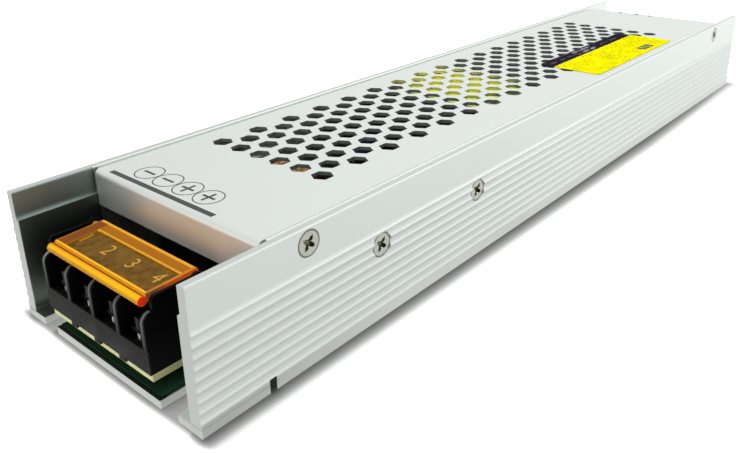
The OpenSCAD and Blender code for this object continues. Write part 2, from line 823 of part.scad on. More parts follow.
// Ferrite core: a frame of two backs and two outer legs, with a middle leg
module transformer_core() {
    color("#3b3b3e") at_transformer() difference() {
        cube([core_l, core_w, core_h]);
        for (y = [core_leg, core_w - core_leg - window_y]) translate([core_leg, y, -over])
            cube([core_l - 2 * core_leg, window_y, core_h + 2 * over]);
    }
}

// Room that the coil former and the winding leave around the middle leg
module coil_tube(gap, thick, length, tall) {
    y0 = core_leg + window_y - gap - thick;
    wide = core_mid + 2 * (gap + thick);
    translate([(core_l - length) / 2, y0, (core_h - tall) / 2]) cube([length, wide, tall]);
}

// Coil former: a square tube round the middle leg with a flange at each end and feet on the board
module transformer_former() {
    room = core_l - 2 * core_leg - 2 * slack;
    tube_h = core_h + 2 * (slack + former_t);
    flange_h = cover_under - cover_clear - board_top;
    flange_w = core_mid + 2 * window_y - 4 * slack;
    color("#2b2a28") at_transformer() difference() {
        union() {
            coil_tube(slack, former_t, room, tube_h);
            for (x = [(core_l - room) / 2, (core_l + room) / 2 - former_t])
                translate([x, core_leg + 2 * slack, board_top - core_z])
                    cube([former_t, flange_w, flange_h]);
        }
        coil_tube(slack, 0, core_l, core_h + 2 * slack);
    }
}

// Taped winding between the flanges, with round shoulders
module transformer_winding() {
    room = core_l - 2 * core_leg - 2 * former_t - 3 * slack;
    wide = core_mid + 2 * window_y - 10 * slack;
    low = board_top + 4 * slack - core_z;
    tall = cover_under - cover_clear - core_z - low;
    round_r = 2.5;
    tube_h = core_h + 2 * (slack + former_t);
    color("#d8d23a") at_transformer() difference() {
        translate([(core_l - room) / 2, core_leg + 5 * slack, low])
            along_x(room) rounded(wide, tall, round_r);
        coil_tube(slack + fit, former_t, core_l, tube_h + 2 * fit);
    }
}

// Side outline of an electrolytic can, from its middle outwards: crimp groove and round shoulder
module can_outline(d, h) {
    shoulder = 0.8;
    groove = 0.5;
    difference() {
        union() {
            square([d / 2, h - shoulder]);
            square([d / 2 - shoulder, h]);
            translate([d / 2 - shoulder, h - shoulder]) circle(shoulder);
        }
        translate([d / 2 + 0.2, 2]) circle(groove);
        translate([-d, -over]) square([d, h + 2 * over]);
    }
}

// Output electrolytic capacitors standing on the board
module output_capacitors() {
    mid = body_w / 2;
    step = out_cap_step;
    places = [for (i = [-1 : 1]) [out_cap_x, mid + i * step],
        for (i = [-0.5, 0.5]) [out_cap_x + step, mid + i * step],
        [choke_x + 1.5, choke_end + 5 * slack + out_cap_d / 2]];
    color("#23262e") for (p = places) from_corner() translate([p.x, p.y, board_top])
        rotate_extrude() can_outline(out_cap_d, out_cap_h);
}

module at_output_choke() {
    from_corner() translate([choke_x, choke_y, board_top + choke_d / 2 + slack])
        rotate([90, 0, 0]) children();
}

// Ferrite rod of the output choke
module output_choke_rod() {
    color("#2f2f31") at_output_choke()
        translate([0, 0, -choke_l / 2 - choke_over])
            cylinder(h = choke_l + 2 * choke_over, d = choke_rod_d);
}

// Copper winding of the output choke: one layer of round wire on a tight tube
module output_choke_winding() {
    core_d = choke_rod_d + 2 * fit;
    color("#c9752f") at_output_choke() translate([0, 0, -choke_l / 2]) rotate_extrude() {
        translate([core_d / 2, 0]) square([choke_sleeve + choke_wire / 2, choke_l]);
        for (i = [0 : choke_turns - 1])
            translate([(choke_d - choke_wire) / 2, (i + 0.5) * choke_wire]) circle(d = choke_wire);
    }
}

// Bulk capacitors lying on the board beside each other
module bulk_capacitors() {
    step = bulk_cap_d + 1;
    first_y = wall_t + 1 + bulk_cap_d / 2;
    color("#23262e") for (i = [0, 1])
        from_corner() translate([bulk_x, first_y + i * step, board_top + bulk_cap_d / 2 + slack])
            rotate([0, 90, 0]) rotate_extrude() can_outline(bulk_cap_d, bulk_cap_l);
}

module at_line_choke() {
    from_corner() translate([ring_x, ring_y, board_top]) children();
}

// Plastic base of the line choke
module line_choke_base() {
    color("#2b2a28") at_line_choke() cylinder(h = ring_base_t, d = ring_d + 2 * ring_wire);
}

// Ferrite ring of the line choke
module line_choke_ring() {
    color("#4a5a50") at_line_choke() translate([0, 0, ring_base_t + ring_wire]) difference() {
        cylinder(h = ring_h, d = ring_d);
        translate([0, 0, -over]) cylinder(h = ring_h + 2 * over, d = ring_bore);
    }
}

// Two windings of the line choke, one on each half of the ring
module line_choke_windings() {
    sweep = 136;
    wide = (ring_d - ring_bore) / 2;
    color("#b9622a") at_line_choke() translate([0, 0, ring_base_t])
        for (turn = [0, 180]) rotate(turn - sweep / 2) rotate_extrude(angle = sweep) difference() {
            translate([ring_bore / 2 - ring_wire, 0])
                square([wide + 2 * ring_wire, ring_h + 2 * ring_wire]);
            translate([ring_bore / 2 - fit, ring_wire - fit])
                square([wide + 2 * fit, ring_h + 2 * fit]);
        }
}

// Boxed film capacitor across the line
module line_filter_capacitor() {
    size = [x_cap_l, x_cap_w, x_cap_h];
    color("#d9a92a") from_corner() translate([x_cap_x, ring_y - size.y / 2, board_top]) cube(size);
}

// Flat bridge rectifier standing across the board on four leads
module bridge_rectifier() {
    size = [bridge_t, bridge_w, bridge_h];
    stand = 2;
    color("#1c1c1e") from_corner()
        translate([ring_x - ring_d / 2 - ring_wire - 3 - size.x, ring_y - size.y / 2, board_top]) {
            translate([0, 0, stand]) cube(size);
            for (i = [0 : 3]) translate([(size.x - lead_w) / 2, size.y * (i + 0.5) / 4, 0])
                cube([lead_w, lead_w, stand + eps]);
        }
}

module at_fuse() {
    from_corner() translate([ring_x - fuse_l / 2, wall_t + 5.6, board_top]) children();
}

// Glass fuse with metal end caps
module fuse() {
    cap_l = 5;
    color("#c9ced0") at_fuse() translate([0, 0, fuse_z]) rotate([0, 90, 0]) {
        cylinder(h = fuse_l, d = fuse_d - 3 * slack);
        for (x = [0, fuse_l - cap_l]) translate([0, 0, x]) cylinder(h = cap_l, d = fuse_d);
    }
}

// Spring clips that hold the fuse's caps
module fuse_clips() {
    clip_l = 4;
    clip_t = 0.6;
    inset = 0.5;
    color("#c8c2a8") at_fuse() for (x = [inset, fuse_l - clip_l - inset]) difference() {
        translate([x, -fuse_d / 2 - clip_t, 0]) cube([clip_l, fuse_d + 2 * clip_t, fuse_z + 0.8]);
        translate([x - over, 0, fuse_z]) rotate([0, 90, 0])
            cylinder(h = clip_l + 2 * over, d = fuse_d + 2 * fit);
        translate([x - over, -fuse_d / 2 + clip_t, fuse_z])
            cube([clip_l + 2 * over, fuse_d - 2 * clip_t, fuse_d]);
    }
}

// Disc standing on two leads, as used for the surge limiter and the safety capacitors
module leaded_disc(d, thick) {
    stand = 1.5;
    translate([0, thick / 2, d / 2 + stand]) rotate([90, 0, 0]) cylinder(h = thick, d = d);
    for (x = [-d / 4, d / 4]) translate([x - lead_w / 2, -lead_w / 2, 0])
        cube([lead_w, lead_w, stand + d / 4]);
}

// Disc that limits the inrush current
module surge_limiter() {
    color("#2f3a2c") from_corner() translate([ring_x, body_w - wall_t - 2 - surge_t / 2, board_top])
        leaded_disc(surge_d, surge_t);
}

// Two blue disc capacitors between the two sides of the transformer
module safety_capacitors() {
    color("#2f62a8") for (i = [-1, 1])
        from_corner() translate([middle_x, body_w / 2 + i * safety_y, board_top])
            leaded_disc(safety_d, safety_t);
}

// Small moulded chip with a row of legs on two sides
module chip(size, legs, pitch) {
    stand = 0.5;
    leg_t = 0.5;
    translate([-size.x / 2, -size.y / 2, stand]) cube(size);
    for (side = [-1, 1], i = [0 : legs - 1])
        translate([(i - (legs - 1) / 2) * pitch - leg_t / 2, side * (size.y + leg_t) / 2 - leg_t / 2, 0])
            cube([leg_t, leg_t, stand + size.z / 2]);
}

// Couplers that carry the feedback signal across the barrier
module signal_couplers() {
    color("#ecebe4") for (i = [0, 1])
        from_corner() translate([middle_x, body_w / 2 - 5 + i * 10, board_top])
            chip([4.6, 6.4, 3.4], 2, 2.54);
}

// Control chip of the switching stage
module control_chip() {
    chip_in = 5.2;
    color("#1c1c1e") from_corner()
        translate([transformer_x + core_l / 2, inner + chip_in, board_top])
            chip([9.9, 3.9, 1.5], 7, 1.27);
}

channel_body();
top_cover();
cover_screws();
rating_label();
insulating_sheet();
main_board();
board_standoffs();
board_screws();
output_block();
output_plates();
output_washers();
output_clamp_screws();
output_lid();
input_block();
input_plates();
input_washers();
input_clamp_screws();
input_lid();
rectifiers();
rectifier_pad();
rectifier_clamp();
rectifier_screws();
transistors();
transistor_pad();
transistor_clamp();
transistor_screws();
transformer_core();
transformer_former();
transformer_winding();
output_capacitors();
output_choke_rod();
output_choke_winding();
bulk_capacitors();
line_choke_ring();
line_choke_windings();
line_choke_base();
line_filter_capacitor();
bridge_rectifier();
fuse();
fuse_clips();
surge_limiter();
safety_capacitors();
signal_couplers();
control_chip();
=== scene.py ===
"""Looks of a slim LED power supply: a ribbed aluminium channel with a perforated cover and an amber
lidded terminal block at each end. Metres, +Z up, the output end at -X."""

import bmesh
import bpy
import numpy as np
from mathutils import Euler, Matrix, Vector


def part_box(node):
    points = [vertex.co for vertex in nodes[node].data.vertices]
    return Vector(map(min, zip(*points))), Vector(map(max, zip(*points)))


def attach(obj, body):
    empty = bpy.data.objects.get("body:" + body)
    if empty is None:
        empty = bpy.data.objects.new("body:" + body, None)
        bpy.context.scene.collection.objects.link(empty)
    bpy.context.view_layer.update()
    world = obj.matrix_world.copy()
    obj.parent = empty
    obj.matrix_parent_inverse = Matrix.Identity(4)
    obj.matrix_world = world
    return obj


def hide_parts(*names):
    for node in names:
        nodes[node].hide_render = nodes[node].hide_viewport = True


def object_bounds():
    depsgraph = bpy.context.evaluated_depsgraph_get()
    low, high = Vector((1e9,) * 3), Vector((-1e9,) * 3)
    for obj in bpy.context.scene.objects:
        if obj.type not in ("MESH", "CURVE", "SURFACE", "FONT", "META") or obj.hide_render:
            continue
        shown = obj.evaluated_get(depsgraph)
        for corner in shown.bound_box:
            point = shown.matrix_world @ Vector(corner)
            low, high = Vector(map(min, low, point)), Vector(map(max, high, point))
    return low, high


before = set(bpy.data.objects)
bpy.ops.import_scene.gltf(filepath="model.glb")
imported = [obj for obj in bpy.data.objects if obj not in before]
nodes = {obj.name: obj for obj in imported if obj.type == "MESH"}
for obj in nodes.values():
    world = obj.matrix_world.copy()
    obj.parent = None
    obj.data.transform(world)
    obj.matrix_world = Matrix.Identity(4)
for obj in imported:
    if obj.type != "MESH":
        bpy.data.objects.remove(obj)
cad_box = [[float(c) for c in corner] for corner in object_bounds()]

# Camera. A long narrow object seen from above its output end, from the right; the place, the turn and the
# lens come from a perspective fit of the channel's edges, and the frame is shifted down as the photo's is.
PHOTO_W, PHOTO_H = 750, 453
FOCAL_PX, CENTRE_Y_PX = 746.17, 155.88
SENSOR_W, CLIP_NEAR, CLIP_FAR = 36.0, 0.005, 50.0
CAMERA_PLACE = (-0.17476, -0.10419, 0.07975)
CAMERA_TILT, CAMERA_ROLL, CAMERA_HEADING = 68.7261, 0.5916, -49.6451
scene = bpy.context.scene
scene.view_settings.view_transform = "Standard"
camera_data = bpy.data.cameras.new("camera")
camera_data.sensor_width = SENSOR_W
camera_data.lens = SENSOR_W * FOCAL_PX / PHOTO_W
camera_data.shift_y = (CENTRE_Y_PX - PHOTO_H / 2) / PHOTO_W
camera_data.clip_start, camera_data.clip_end = CLIP_NEAR, CLIP_FAR
camera = bpy.data.objects.new("camera", camera_data)
camera_turn = Euler(np.radians((CAMERA_TILT, CAMERA_ROLL, CAMERA_HEADING)))
camera.matrix_world = Matrix.LocRotScale(CAMERA_PLACE, camera_turn, None)
scene.collection.objects.link(camera)
scene.camera = camera


# Studio. White paper under the object, a soft lamp high on the picture's left that throws its shadow to the
# right, a weak one in front, and a white card that only the metal mirrors.
def linear(hex_colour):
    """A colour written as sRGB hex, turned into the linear values that the shaders take."""
    code = np.array([int(hex_colour[i:i + 2], 16) for i in (1, 3, 5)]) / 255
    low, high = code / 12.92, ((code + 0.055) / 1.055) ** 2.4
    return (*np.where(code <= 0.04045, low, high).tolist(), 1.0)


def put(tree, kind, feeds=None, out=0, **settings):
    """Adds one node to a tree and gives back one of its outputs: settings are its properties, and feeds are
    its socket values or incoming sockets."""
    made = tree.nodes.new("ShaderNode" + kind)
    for name, value in settings.items():
        setattr(made, name, value)
    for name, value in (feeds or {}).items():
        if isinstance(value, bpy.types.NodeSocket):
            tree.links.new(value, made.inputs[name])
        else:
            made.inputs[name].default_value = value
    return made.outputs[out] if made.outputs else None


def layers(tree, below, *coats):
    """Colours laid one over another: each coat is a mask and the colour that covers what is below where the
    mask is one. A colour is a hex code or a socket."""
    shown = linear(below) if isinstance(below, str) else below
    for mask, colour in coats:
        over = linear(colour) if isinstance(colour, str) else colour
        shown = put(tree, "Mix", {"Factor": mask, "A": shown, "B": over}, "Result", data_type="RGBA")
    return shown


def seen_directly(tree):
    """One where the ray comes from the camera, a mirror or a clear piece, and nought for diffuse light."""
    path = put(tree, "LightPath").node.outputs
    seen = path["Is Camera Ray"]
    for kind in ("Is Glossy Ray", "Is Transmission Ray"):
        seen = put(tree, "Math", {0: seen, 1: path[kind]}, operation="MAXIMUM")
    return seen


# the sky is white to the eye, lights matt faces weakly, and is dimmer in metal that mirrors the left side
WHITE = "#ffffff"
SKY_LIGHT, SKY_SHOWN, SKY_DIM = 0.32, 1.0, 0.70
DIM_START, DIM_END = 0.6, 0.9
world = bpy.data.worlds.new("studio")
world.use_nodes = True
air = world.node_tree
air.nodes.clear()
sky_y = put(air, "SeparateXYZ", {0: put(air, "TexCoord", out="Generated")}, "Y")
sky_dim = put(air, "MapRange", {"Value": sky_y, "From Min": DIM_START, "From Max": DIM_END,
                                "To Min": SKY_SHOWN, "To Max": SKY_DIM}, interpolation_type="SMOOTHSTEP")
sky_mirrored = put(air, "LightPath", out="Is Glossy Ray")
sky_bright = put(air, "Mix", {"Factor": sky_mirrored, "A": SKY_SHOWN, "B": sky_dim})
sky_level = put(air, "MapRange", {"Value": seen_directly(air), "To Min": SKY_LIGHT, "To Max": sky_bright})
sky = put(air, "Background", {"Color": linear(WHITE), "Strength": sky_level})
put(air, "OutputWorld", {"Surface": sky})
scene.world = world

FLOOR_HALF = 4.0
# width of the painted shade beside the object, where the white begins, and the white's strength near and far
# off
CONTACT_W, LIFT_END = 0.006, 0.0085
NEAR_LIFT, FAR_LIFT, FAR_START, FAR_END = 0.6, 0.8, 0.15, 0.8
# how much narrower the painted shade is before the ends and along the sides, and how it fades along the far
# half
END_STEEPER, NEAR_STEEPER, FAR_STEEPER = 2.5, 1.6, 0.65
FADE_START, FADE_TO = 0.04, 0.0036
# strength of the mirrored paper, from one place along the object to another
MIRROR_START, MIRROR_END, MIRROR_NEAR, MIRROR_FAR = -0.25, 0.35, 0.76, 1.43
floor_mesh = bpy.data.meshes.new("floor")
floor_corners = np.array([[-1, -1, 0], [1, -1, 0], [1, 1, 0], [-1, 1, 0]]) * FLOOR_HALF
floor_mesh.from_pydata(floor_corners.tolist(), [], [[0, 1, 2, 3]])
floor = bpy.data.objects.new("floor", floor_mesh)
scene.collection.objects.link(floor)
# white, with painted shade: the paper's own colour is grey where the object stands on it and turns white
# within a few millimetres; mirrored, it is a pale even grey
floor_paper = bpy.data.materials.new("white_paper")
floor_paper.use_nodes = True
paper = floor_paper.node_tree
paper.nodes.clear()
paper_where = put(paper, "TexCoord", out="Object")
paper_x = put(paper, "SeparateXYZ", {0: paper_where}, "X")
paper_away = put(paper, "VectorMath", {0: paper_where}, operation="ABSOLUTE")
paper_past = put(paper, "VectorMath", {0: paper_away, 1: cad_box[1]}, operation="SUBTRACT")
paper_gap = put(paper, "VectorMath", {0: paper_past, 1: (0.0, 0.0, 0.0)}, operation="MAXIMUM")
paper_side = put(paper, "VectorMath", {0: paper_gap, 1: (END_STEEPER, 1.0, 1.0)}, operation="MULTIPLY")
paper_reach = put(paper, "VectorMath", {0: paper_side}, "Value", operation="LENGTH")
paper_steep = put(paper, "MapRange", {"Value": paper_x, "From Min": cad_box[0][0], "From Max": cad_box[1][0],
                                      "To Min": NEAR_STEEPER, "To Max": FAR_STEEPER})
paper_fade = put(paper, "MapRange", {"Value": paper_x, "From Min": FADE_START, "From Max": cad_box[1][0],
                                     "To Min": 0.0, "To Max": FADE_TO})
paper_far = put(paper, "Math", {0: paper_reach, 1: paper_steep, 2: paper_fade}, operation="MULTIPLY_ADD")
paper_open = put(paper, "MapRange", {"Value": paper_far, "From Max": CONTACT_W},
                 interpolation_type="SMOOTHSTEP")
# painted shade: grey paper beside the object, white paper further off
paper_with_painted_shade = put(paper, "BsdfDiffuse", {"Color": layers(paper, "#9a9a9a", (paper_open, "#f4f4f4"))})
paper_most = put(paper, "MapRange", {"Value": paper_reach, "From Min": FAR_START, "From Max": FAR_END,
                                     "To Min": NEAR_LIFT, "To Max": FAR_LIFT})
paper_lift = put(paper, "MapRange", {"Value": paper_far, "From Min": CONTACT_W / 2, "From Max": LIFT_END,
                                     "To Min": 0.0, "To Max": paper_most})
paper_level = put(paper, "Math", {0: seen_directly(paper), 1: paper_lift}, operation="MULTIPLY")
paper_glow = put(paper, "Emission", {"Color": linear(WHITE), "Strength": paper_level})
paper_sum = put(paper, "AddShader", {0: paper_with_painted_shade, 1: paper_glow})
paper_even = put(paper, "MapRange", {"Value": paper_x, "From Min": MIRROR_START, "From Max": MIRROR_END,
                                     "To Min": MIRROR_NEAR, "To Max": MIRROR_FAR})
paper_mirror = put(paper, "Emission", {"Color": linear(WHITE), "Strength": paper_even})
paper_mirrored = put(paper, "LightPath", out="Is Glossy Ray")
paper_shown = put(paper, "MixShader", {0: paper_mirrored, 1: paper_sum, 2: paper_mirror})
put(paper, "OutputMaterial", {"Surface": paper_shown})
floor_mesh.materials.append(floor_paper)


def lamp(name, place, aim, size, watts):
    """A square soft lamp at a place, turned so that it shines at the aim point."""
    data = bpy.data.lights.new(name, "AREA")
    data.size, data.energy = size, watts
    made = bpy.data.objects.new(name, data)
    back = np.array(place, float) - np.array(aim, float)
    back /= np.linalg.norm(back)
    side = np.cross((0.0, 1.0, 0.0), back)
    side /= np.linalg.norm(side)
    turn = Matrix(np.stack([side, np.cross(back, side), back], axis=1).tolist()).to_4x4()
    turn.translation = place
    made.matrix_world = turn
    scene.collection.objects.link(made)
    return made


key = lamp("key", place=(-0.06, 0.11, 0.88), aim=(0, 0, 0.01), size=0.24, watts=7.4)
front = lamp("front", place=(-0.95, -0.10, 0.40), aim=(-0.1, 0, 0.01), size=0.5, watts=1.2)
card = lamp("card", place=(0.66, -0.34, 0.56), aim=(0, 0, 0.01), size=0.70, watts=1.25)
key.visible_glossy = front.visible_glossy = False
card.visible_diffuse = card.visible_transmission = False

# Channel. One length of extruded aluminium, sawn and milled at the ends and satin anodised; everything else
# is screwed to it or lies in it.
MM = 0.001
# a distance in millimetres that is beyond every piece, for ranges that are open at one side
OPEN = 999.0
BODY_END = cad_box[1][0] / MM
COVER_EDGE, LEDGE_Z, FLUTES_TOP, FOOT_TOP, FLOOR_TOP = 108.5, 20.55, 16.5, 2.4, 1.5
WALL_INSIDE, BAY_SIDE, EDGE_SHADE_START = 22.0, 16.0, 123.0
FOOT_SHADED, FOOT_LIT = -120.0, -77.0
NOTCH = (("X", -110.9, -109.3), ("Y", -26.55, -20.0), ("Z", -1.0, 2.65))
RIGHT_BAY_METALLIC, INNER_ROUGH = 0.3, 0.85
# a face looks along an axis where its direction has more than this share of it
FACING = 0.5
NOISE_DETAIL, NOISE_ROUGH, NOISE_LOW, NOISE_HIGH = 3.0, 0.6, 0.25, 0.75


def finish(name, metallic=0.0, roughness=0.5):
    """A material of one Principled shader, with its node tree and that shader."""
    made = bpy.data.materials.new(name)
    made.use_nodes = True
    shader = made.node_tree.nodes["Principled BSDF"]
    shader.inputs["Metallic"].default_value = metallic
    shader.inputs["Roughness"].default_value = roughness
    return made, made.node_tree, shader


def grained(name, metallic, spacing_mm, colours, rough, bump_mm=0.0):
    """A finish with noise in it, of one spacing in millimetres or of one along each axis. The noise takes the
    colour and the roughness from the first of their two values to the second, and raises the surface by at
    most the bump height. Grain finer than half a millimetre is drawn coarser than it is, so that it shows."""
    made, tree, shader = finish(name, metallic)
    scale = 1 / (np.broadcast_to(spacing_mm, 3) * MM)
    there = put(tree, "Mapping", {"Vector": put(tree, "TexCoord", out="Object"), "Scale": scale.tolist()})
    value = put(tree, "TexNoise", {"Vector": there, "Scale": 1.0, "Detail": NOISE_DETAIL,
                                   "Roughness": NOISE_ROUGH}, "Fac")
    tree.links.new(layers(tree, colours[0], (value, colours[1])), shader.inputs["Base Color"])
    level = put(tree, "MapRange", {"Value": value, "From Min": NOISE_LOW, "From Max": NOISE_HIGH,
                                   "To Min": rough[0], "To Max": rough[1]})
    tree.links.new(level, shader.inputs["Roughness"])
    if bump_mm:
        lift = put(tree, "Bump", {"Height": value, "Strength": 1.0, "Distance": bump_mm * MM})
        tree.links.new(lift, shader.inputs["Normal"])
    return made, tree, shader


def dress(material, *names):
    """Gives CAD nodes a material in place of the one that they were packed with."""
    for name in names:
        nodes[name].data.materials.clear()
        nodes[name].data.materials.append(material)


def coordinate(tree, axis):
    """The piece's own coordinate along one axis, in metres."""
    return put(tree, "SeparateXYZ", {0: put(tree, "TexCoord", out="Object")}, axis)


def facing(tree, axis):
    """How far a face looks along one axis, from minus one to one."""
    return put(tree, "SeparateXYZ", {0: put(tree, "NewGeometry", out="Normal")}, axis)


def inside(tree, value, low, high, soft):
    """One between two values and nought outside, with a soft step at either side."""
    steps = [put(tree, "MapRange", {"Value": value, "From Min": edge - soft, "From Max": edge + soft,
                                    "To Min": before, "To Max": after})
             for edge, before, after in ((low, 0.0, 1.0), (high, 1.0, 0.0))]
    return put(tree, "Math", {0: steps[0], 1: steps[1]}, operation="MULTIPLY")


def between(tree, axis, low_mm, high_mm, soft_mm=0.01):
    """One where the coordinate along an axis lies between two values in millimetres, and nought outside."""
    return inside(tree, coordinate(tree, axis), low_mm * MM, high_mm * MM, soft_mm * MM)


def beyond(tree, axis, start_mm, end_mm):
    """Nought near the middle plane across an axis and one far from it, rising between two distances."""
    away = put(tree, "Math", {0: coordinate(tree, axis)}, operation="ABSOLUTE")
    return put(tree, "MapRange", {"Value": away, "From Min": start_mm * MM, "From Max": end_mm * MM})


def all_of(tree, *masks):
    """The product of masks, which is one only where each of them is."""
    result = masks[0]
    for mask in masks[1:]:
        result = put(tree, "Math", {0: result, 1: mask}, operation="MULTIPLY")
    return result


def painted(tree, shader, *coats):
    """Covers the base colour that is already there with coats, each a mask and a colour."""
    base = shader.inputs["Base Color"]
    tree.links.new(layers(tree, base.links[0].from_socket, *coats), base)


# fine streaks along the length and a soft sheen, so that each rib tip shows as a pale line; the rest is
# painted light and shade, marked below where each coat is made
aluminium, tree, shader = grained("satin_anodised_aluminium", 1.0, (60.0, 0.15, 0.15), ("#d2d8d3", "#d8ddd9"),
                                  (0.44, 0.50), 0.0006)
y_side = put(tree, "Math", {0: coordinate(tree, "Y")}, operation="SIGN")
outward = all_of(tree, facing(tree, "Y"), y_side)
looks_in = put(tree, "Math", {0: outward, 1: -FACING}, operation="LESS_THAN")
looks_out = put(tree, "Math", {0: outward, 1: FACING}, operation="GREATER_THAN")
looks_up = put(tree, "Math", {0: facing(tree, "Z"), 1: FACING}, operation="GREATER_THAN")
near_end = between(tree, "X", -OPEN, -COVER_EDGE, soft_mm=0.1)
# painted shade on the faces that look inwards at the open end, less dark above the ledge, and painted light
# on them further in
open_end_painted_shade = layers(tree, "#737d77", (between(tree, "Z", LEDGE_Z, OPEN, soft_mm=0.05), "#9babaa"))
inner_painted_light_and_shade = layers(tree, "#dfe4e0", (near_end, open_end_painted_shade))
# painted light: the plain lip above the flutes is a little lighter on the outside
plain_lip = all_of(tree, between(tree, "Z", FLUTES_TOP, OPEN, soft_mm=0.6), looks_out)
# painted shade: the foot is darker near the open end and lightens towards the far end
foot = between(tree, "Z", -OPEN, FOOT_TOP, soft_mm=0.2)
towards_far = put(tree, "MapRange", {"Value": coordinate(tree, "X"), "From Min": FOOT_SHADED * MM,
                                     "From Max": FOOT_LIT * MM})
foot_painted_shade = layers(tree, "#b2b7b2", (towards_far, "#d0d5d1"))
# the end faces get one even colour over the foot's painted shade, and the wall ends a slightly darker painted
# shade
at_end = beyond(tree, "X", BODY_END - 0.15, BODY_END - 0.05)
wall_end = all_of(tree, at_end, beyond(tree, "Y", WALL_INSIDE - 0.1, WALL_INSIDE))
# painted shade: the floor's top before the sheet is painted dark green-grey at both ends
edge_painted_shade = all_of(tree, looks_up, beyond(tree, "X", EDGE_SHADE_START, EDGE_SHADE_START + 0.1),
                   between(tree, "Z", 0.0, FLOOR_TOP + 0.2), between(tree, "Y", -BAY_SIDE, BAY_SIDE))
# painted shade on the left bay's floor at the open end, and painted light on the right one
bay_floor = all_of(tree, near_end, between(tree, "Z", FLOOR_TOP - 0.05, FLOOR_TOP + 0.2))
left_bay = all_of(tree, bay_floor, between(tree, "Y", BAY_SIDE, OPEN))
right_bay = all_of(tree, bay_floor, between(tree, "Y", -OPEN, -BAY_SIDE))
# painted shade: the faces of the notch are nearly black
in_notch = all_of(tree, *[between(tree, *limits, soft_mm=0.02) for limits in NOTCH])
painted(tree, shader, (looks_in, inner_painted_light_and_shade), (plain_lip, "#dee4df"), (foot, foot_painted_shade), (at_end, "#d4d9d5"),
        (wall_end, "#d0d5d1"), (edge_painted_shade, "#343f38"), (left_bay, "#868d88"), (right_bay, "#b4bab5"),
        (in_notch, "#15140c"))
# painted light: the right bay's floor is less metallic, so that the lamps light it
right_bay_painted_light = put(tree, "MapRange", {"Value": right_bay, "To Min": 1.0, "To Max": RIGHT_BAY_METALLIC})
tree.links.new(right_bay_painted_light, shader.inputs["Metallic"])
inner_share = put(tree, "MapRange", {"Value": looks_in, "To Min": 1.0, "To Max": INNER_ROUGH})
rough_socket = shader.inputs["Roughness"]
tree.links.new(all_of(tree, rough_socket.links[0].from_socket, inner_share), rough_socket)
dress(aluminium, "channel_body")

# Cover. Aluminium sheet punched with hexagons, folded on all four sides, matt from etching and screwed
# between the channel's lips; black ink marks the poles at both ends.
COVER_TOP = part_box("top_cover")[1].z / MM
HOLES_X, HOLES_Y, FOLD_START, FOLD_END = 107.0, 22.0, 108.0, 108.4
SHADE_LEFT, SHADE_RIGHT = 22.0, 6.0
# a cool matt grey with hardly any grain, which blurs what it mirrors; the walls of the holes carry painted
# shade, with a painted yellow reflection over the tape, and the front fold carries painted light and shade,
# brighter towards the right
sheet, tree, shader = grained("etched_aluminium_sheet", 0.75, (1.2, 0.4, 0.4), ("#dae0dc", "#e0e5e1"),
                              (0.45, 0.52), 0.0008)
up_or_down = put(tree, "Math", {0: facing(tree, "Z")}, operation="ABSOLUTE")
standing = put(tree, "Math", {0: up_or_down, 1: FACING}, operation="LESS_THAN")
hole_wall = all_of(tree, standing, between(tree, "X", -HOLES_X, HOLES_X, soft_mm=0.1),
                   between(tree, "Y", -HOLES_Y, HOLES_Y, soft_mm=0.1))
tape_low, tape_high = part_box("transformer_winding")
over_tape = all_of(tree, *[inside(tree, coordinate(tree, axis), low, high, 0.8 * MM)
                           for axis, low, high in zip("XY", tape_low, tape_high)])
end_fold = all_of(tree, standing, beyond(tree, "X", FOLD_START, FOLD_END))
fold_light_to_right = put(tree, "MapRange", {"Value": coordinate(tree, "Y"), "From Min": SHADE_LEFT * MM,
                                    "From Max": SHADE_RIGHT * MM})
# painted shade and a painted reflection on the hole walls, painted light and shade on the front fold
painted(tree, shader, (hole_wall, layers(tree, "#949c96", (over_tape, "#e4e58e"))),
        (end_fold, layers(tree, "#c2c6c2", (fold_light_to_right, "#f8f6ee"))))
dress(sheet, "top_cover")

INK_T = 0.02
MARK_X, MARK_R, RING_LINE, SIGN_L, SIGN_W = -102.9, 2.95, 0.22, 3.3, 0.55
MINUS_Y, PLUS_Y = (13.85, 7.95), (1.95, -4.05)
STRIPE_PLACE, STRIPE_SIZE = (-107.1, 4.75), (1.15, 31.0)
FAR_MARK_X, FAR_MARK_Y, FAR_MARK_SIZE = 106.6, (10.9, 4.6, -0.5), (1.6, 1.5)


def slab(outline, low, high):
    """An outline in X and Y carried straight up from one height to another, closed by a face at each end."""
    outline = np.asarray(outline, float)
    n = len(outline)
    points = np.concatenate([np.column_stack([outline, np.full(n, z)]) for z in (low, high)])
    i = np.arange(n)
    sides = np.column_stack([i, (i + 1) % n, (i + 1) % n + n, i + n])
    return points, [*sides.tolist(), i[::-1].tolist(), (i + n).tolist()]


def hoop(centre, outer, inner, low, high, steps=72):
    """A square section carried round a circle: outer and inner walls joined by a top and an underside."""
    turn = np.linspace(0, 2 * np.pi, steps, endpoint=False)
    radius = np.array([outer, outer, inner, inner])
    height = np.array([low, high, high, low])
    x = centre[0] + np.outer(np.cos(turn), radius)
    y = centre[1] + np.outer(np.sin(turn), radius)
    points = np.stack([x, y, np.broadcast_to(height, x.shape)], axis=-1).reshape(-1, 3)
    i, j = np.meshgrid(np.arange(steps), np.arange(4), indexing="ij")
    next_i, next_j = (i + 1) % steps, (j + 1) % 4
    faces = np.stack([i * 4 + j, next_i * 4 + j, next_i * 4 + next_j, i * 4 + next_j], axis=-1)
    return points, faces.reshape(-1, 4).tolist()


def box_outline(centre, size):
    """The four corners of a rectangle, counter-clockwise."""
    signs = np.array([[-1, -1], [1, -1], [1, 1], [-1, 1]])
    return np.asarray(centre) + signs * np.asarray(size) / 2


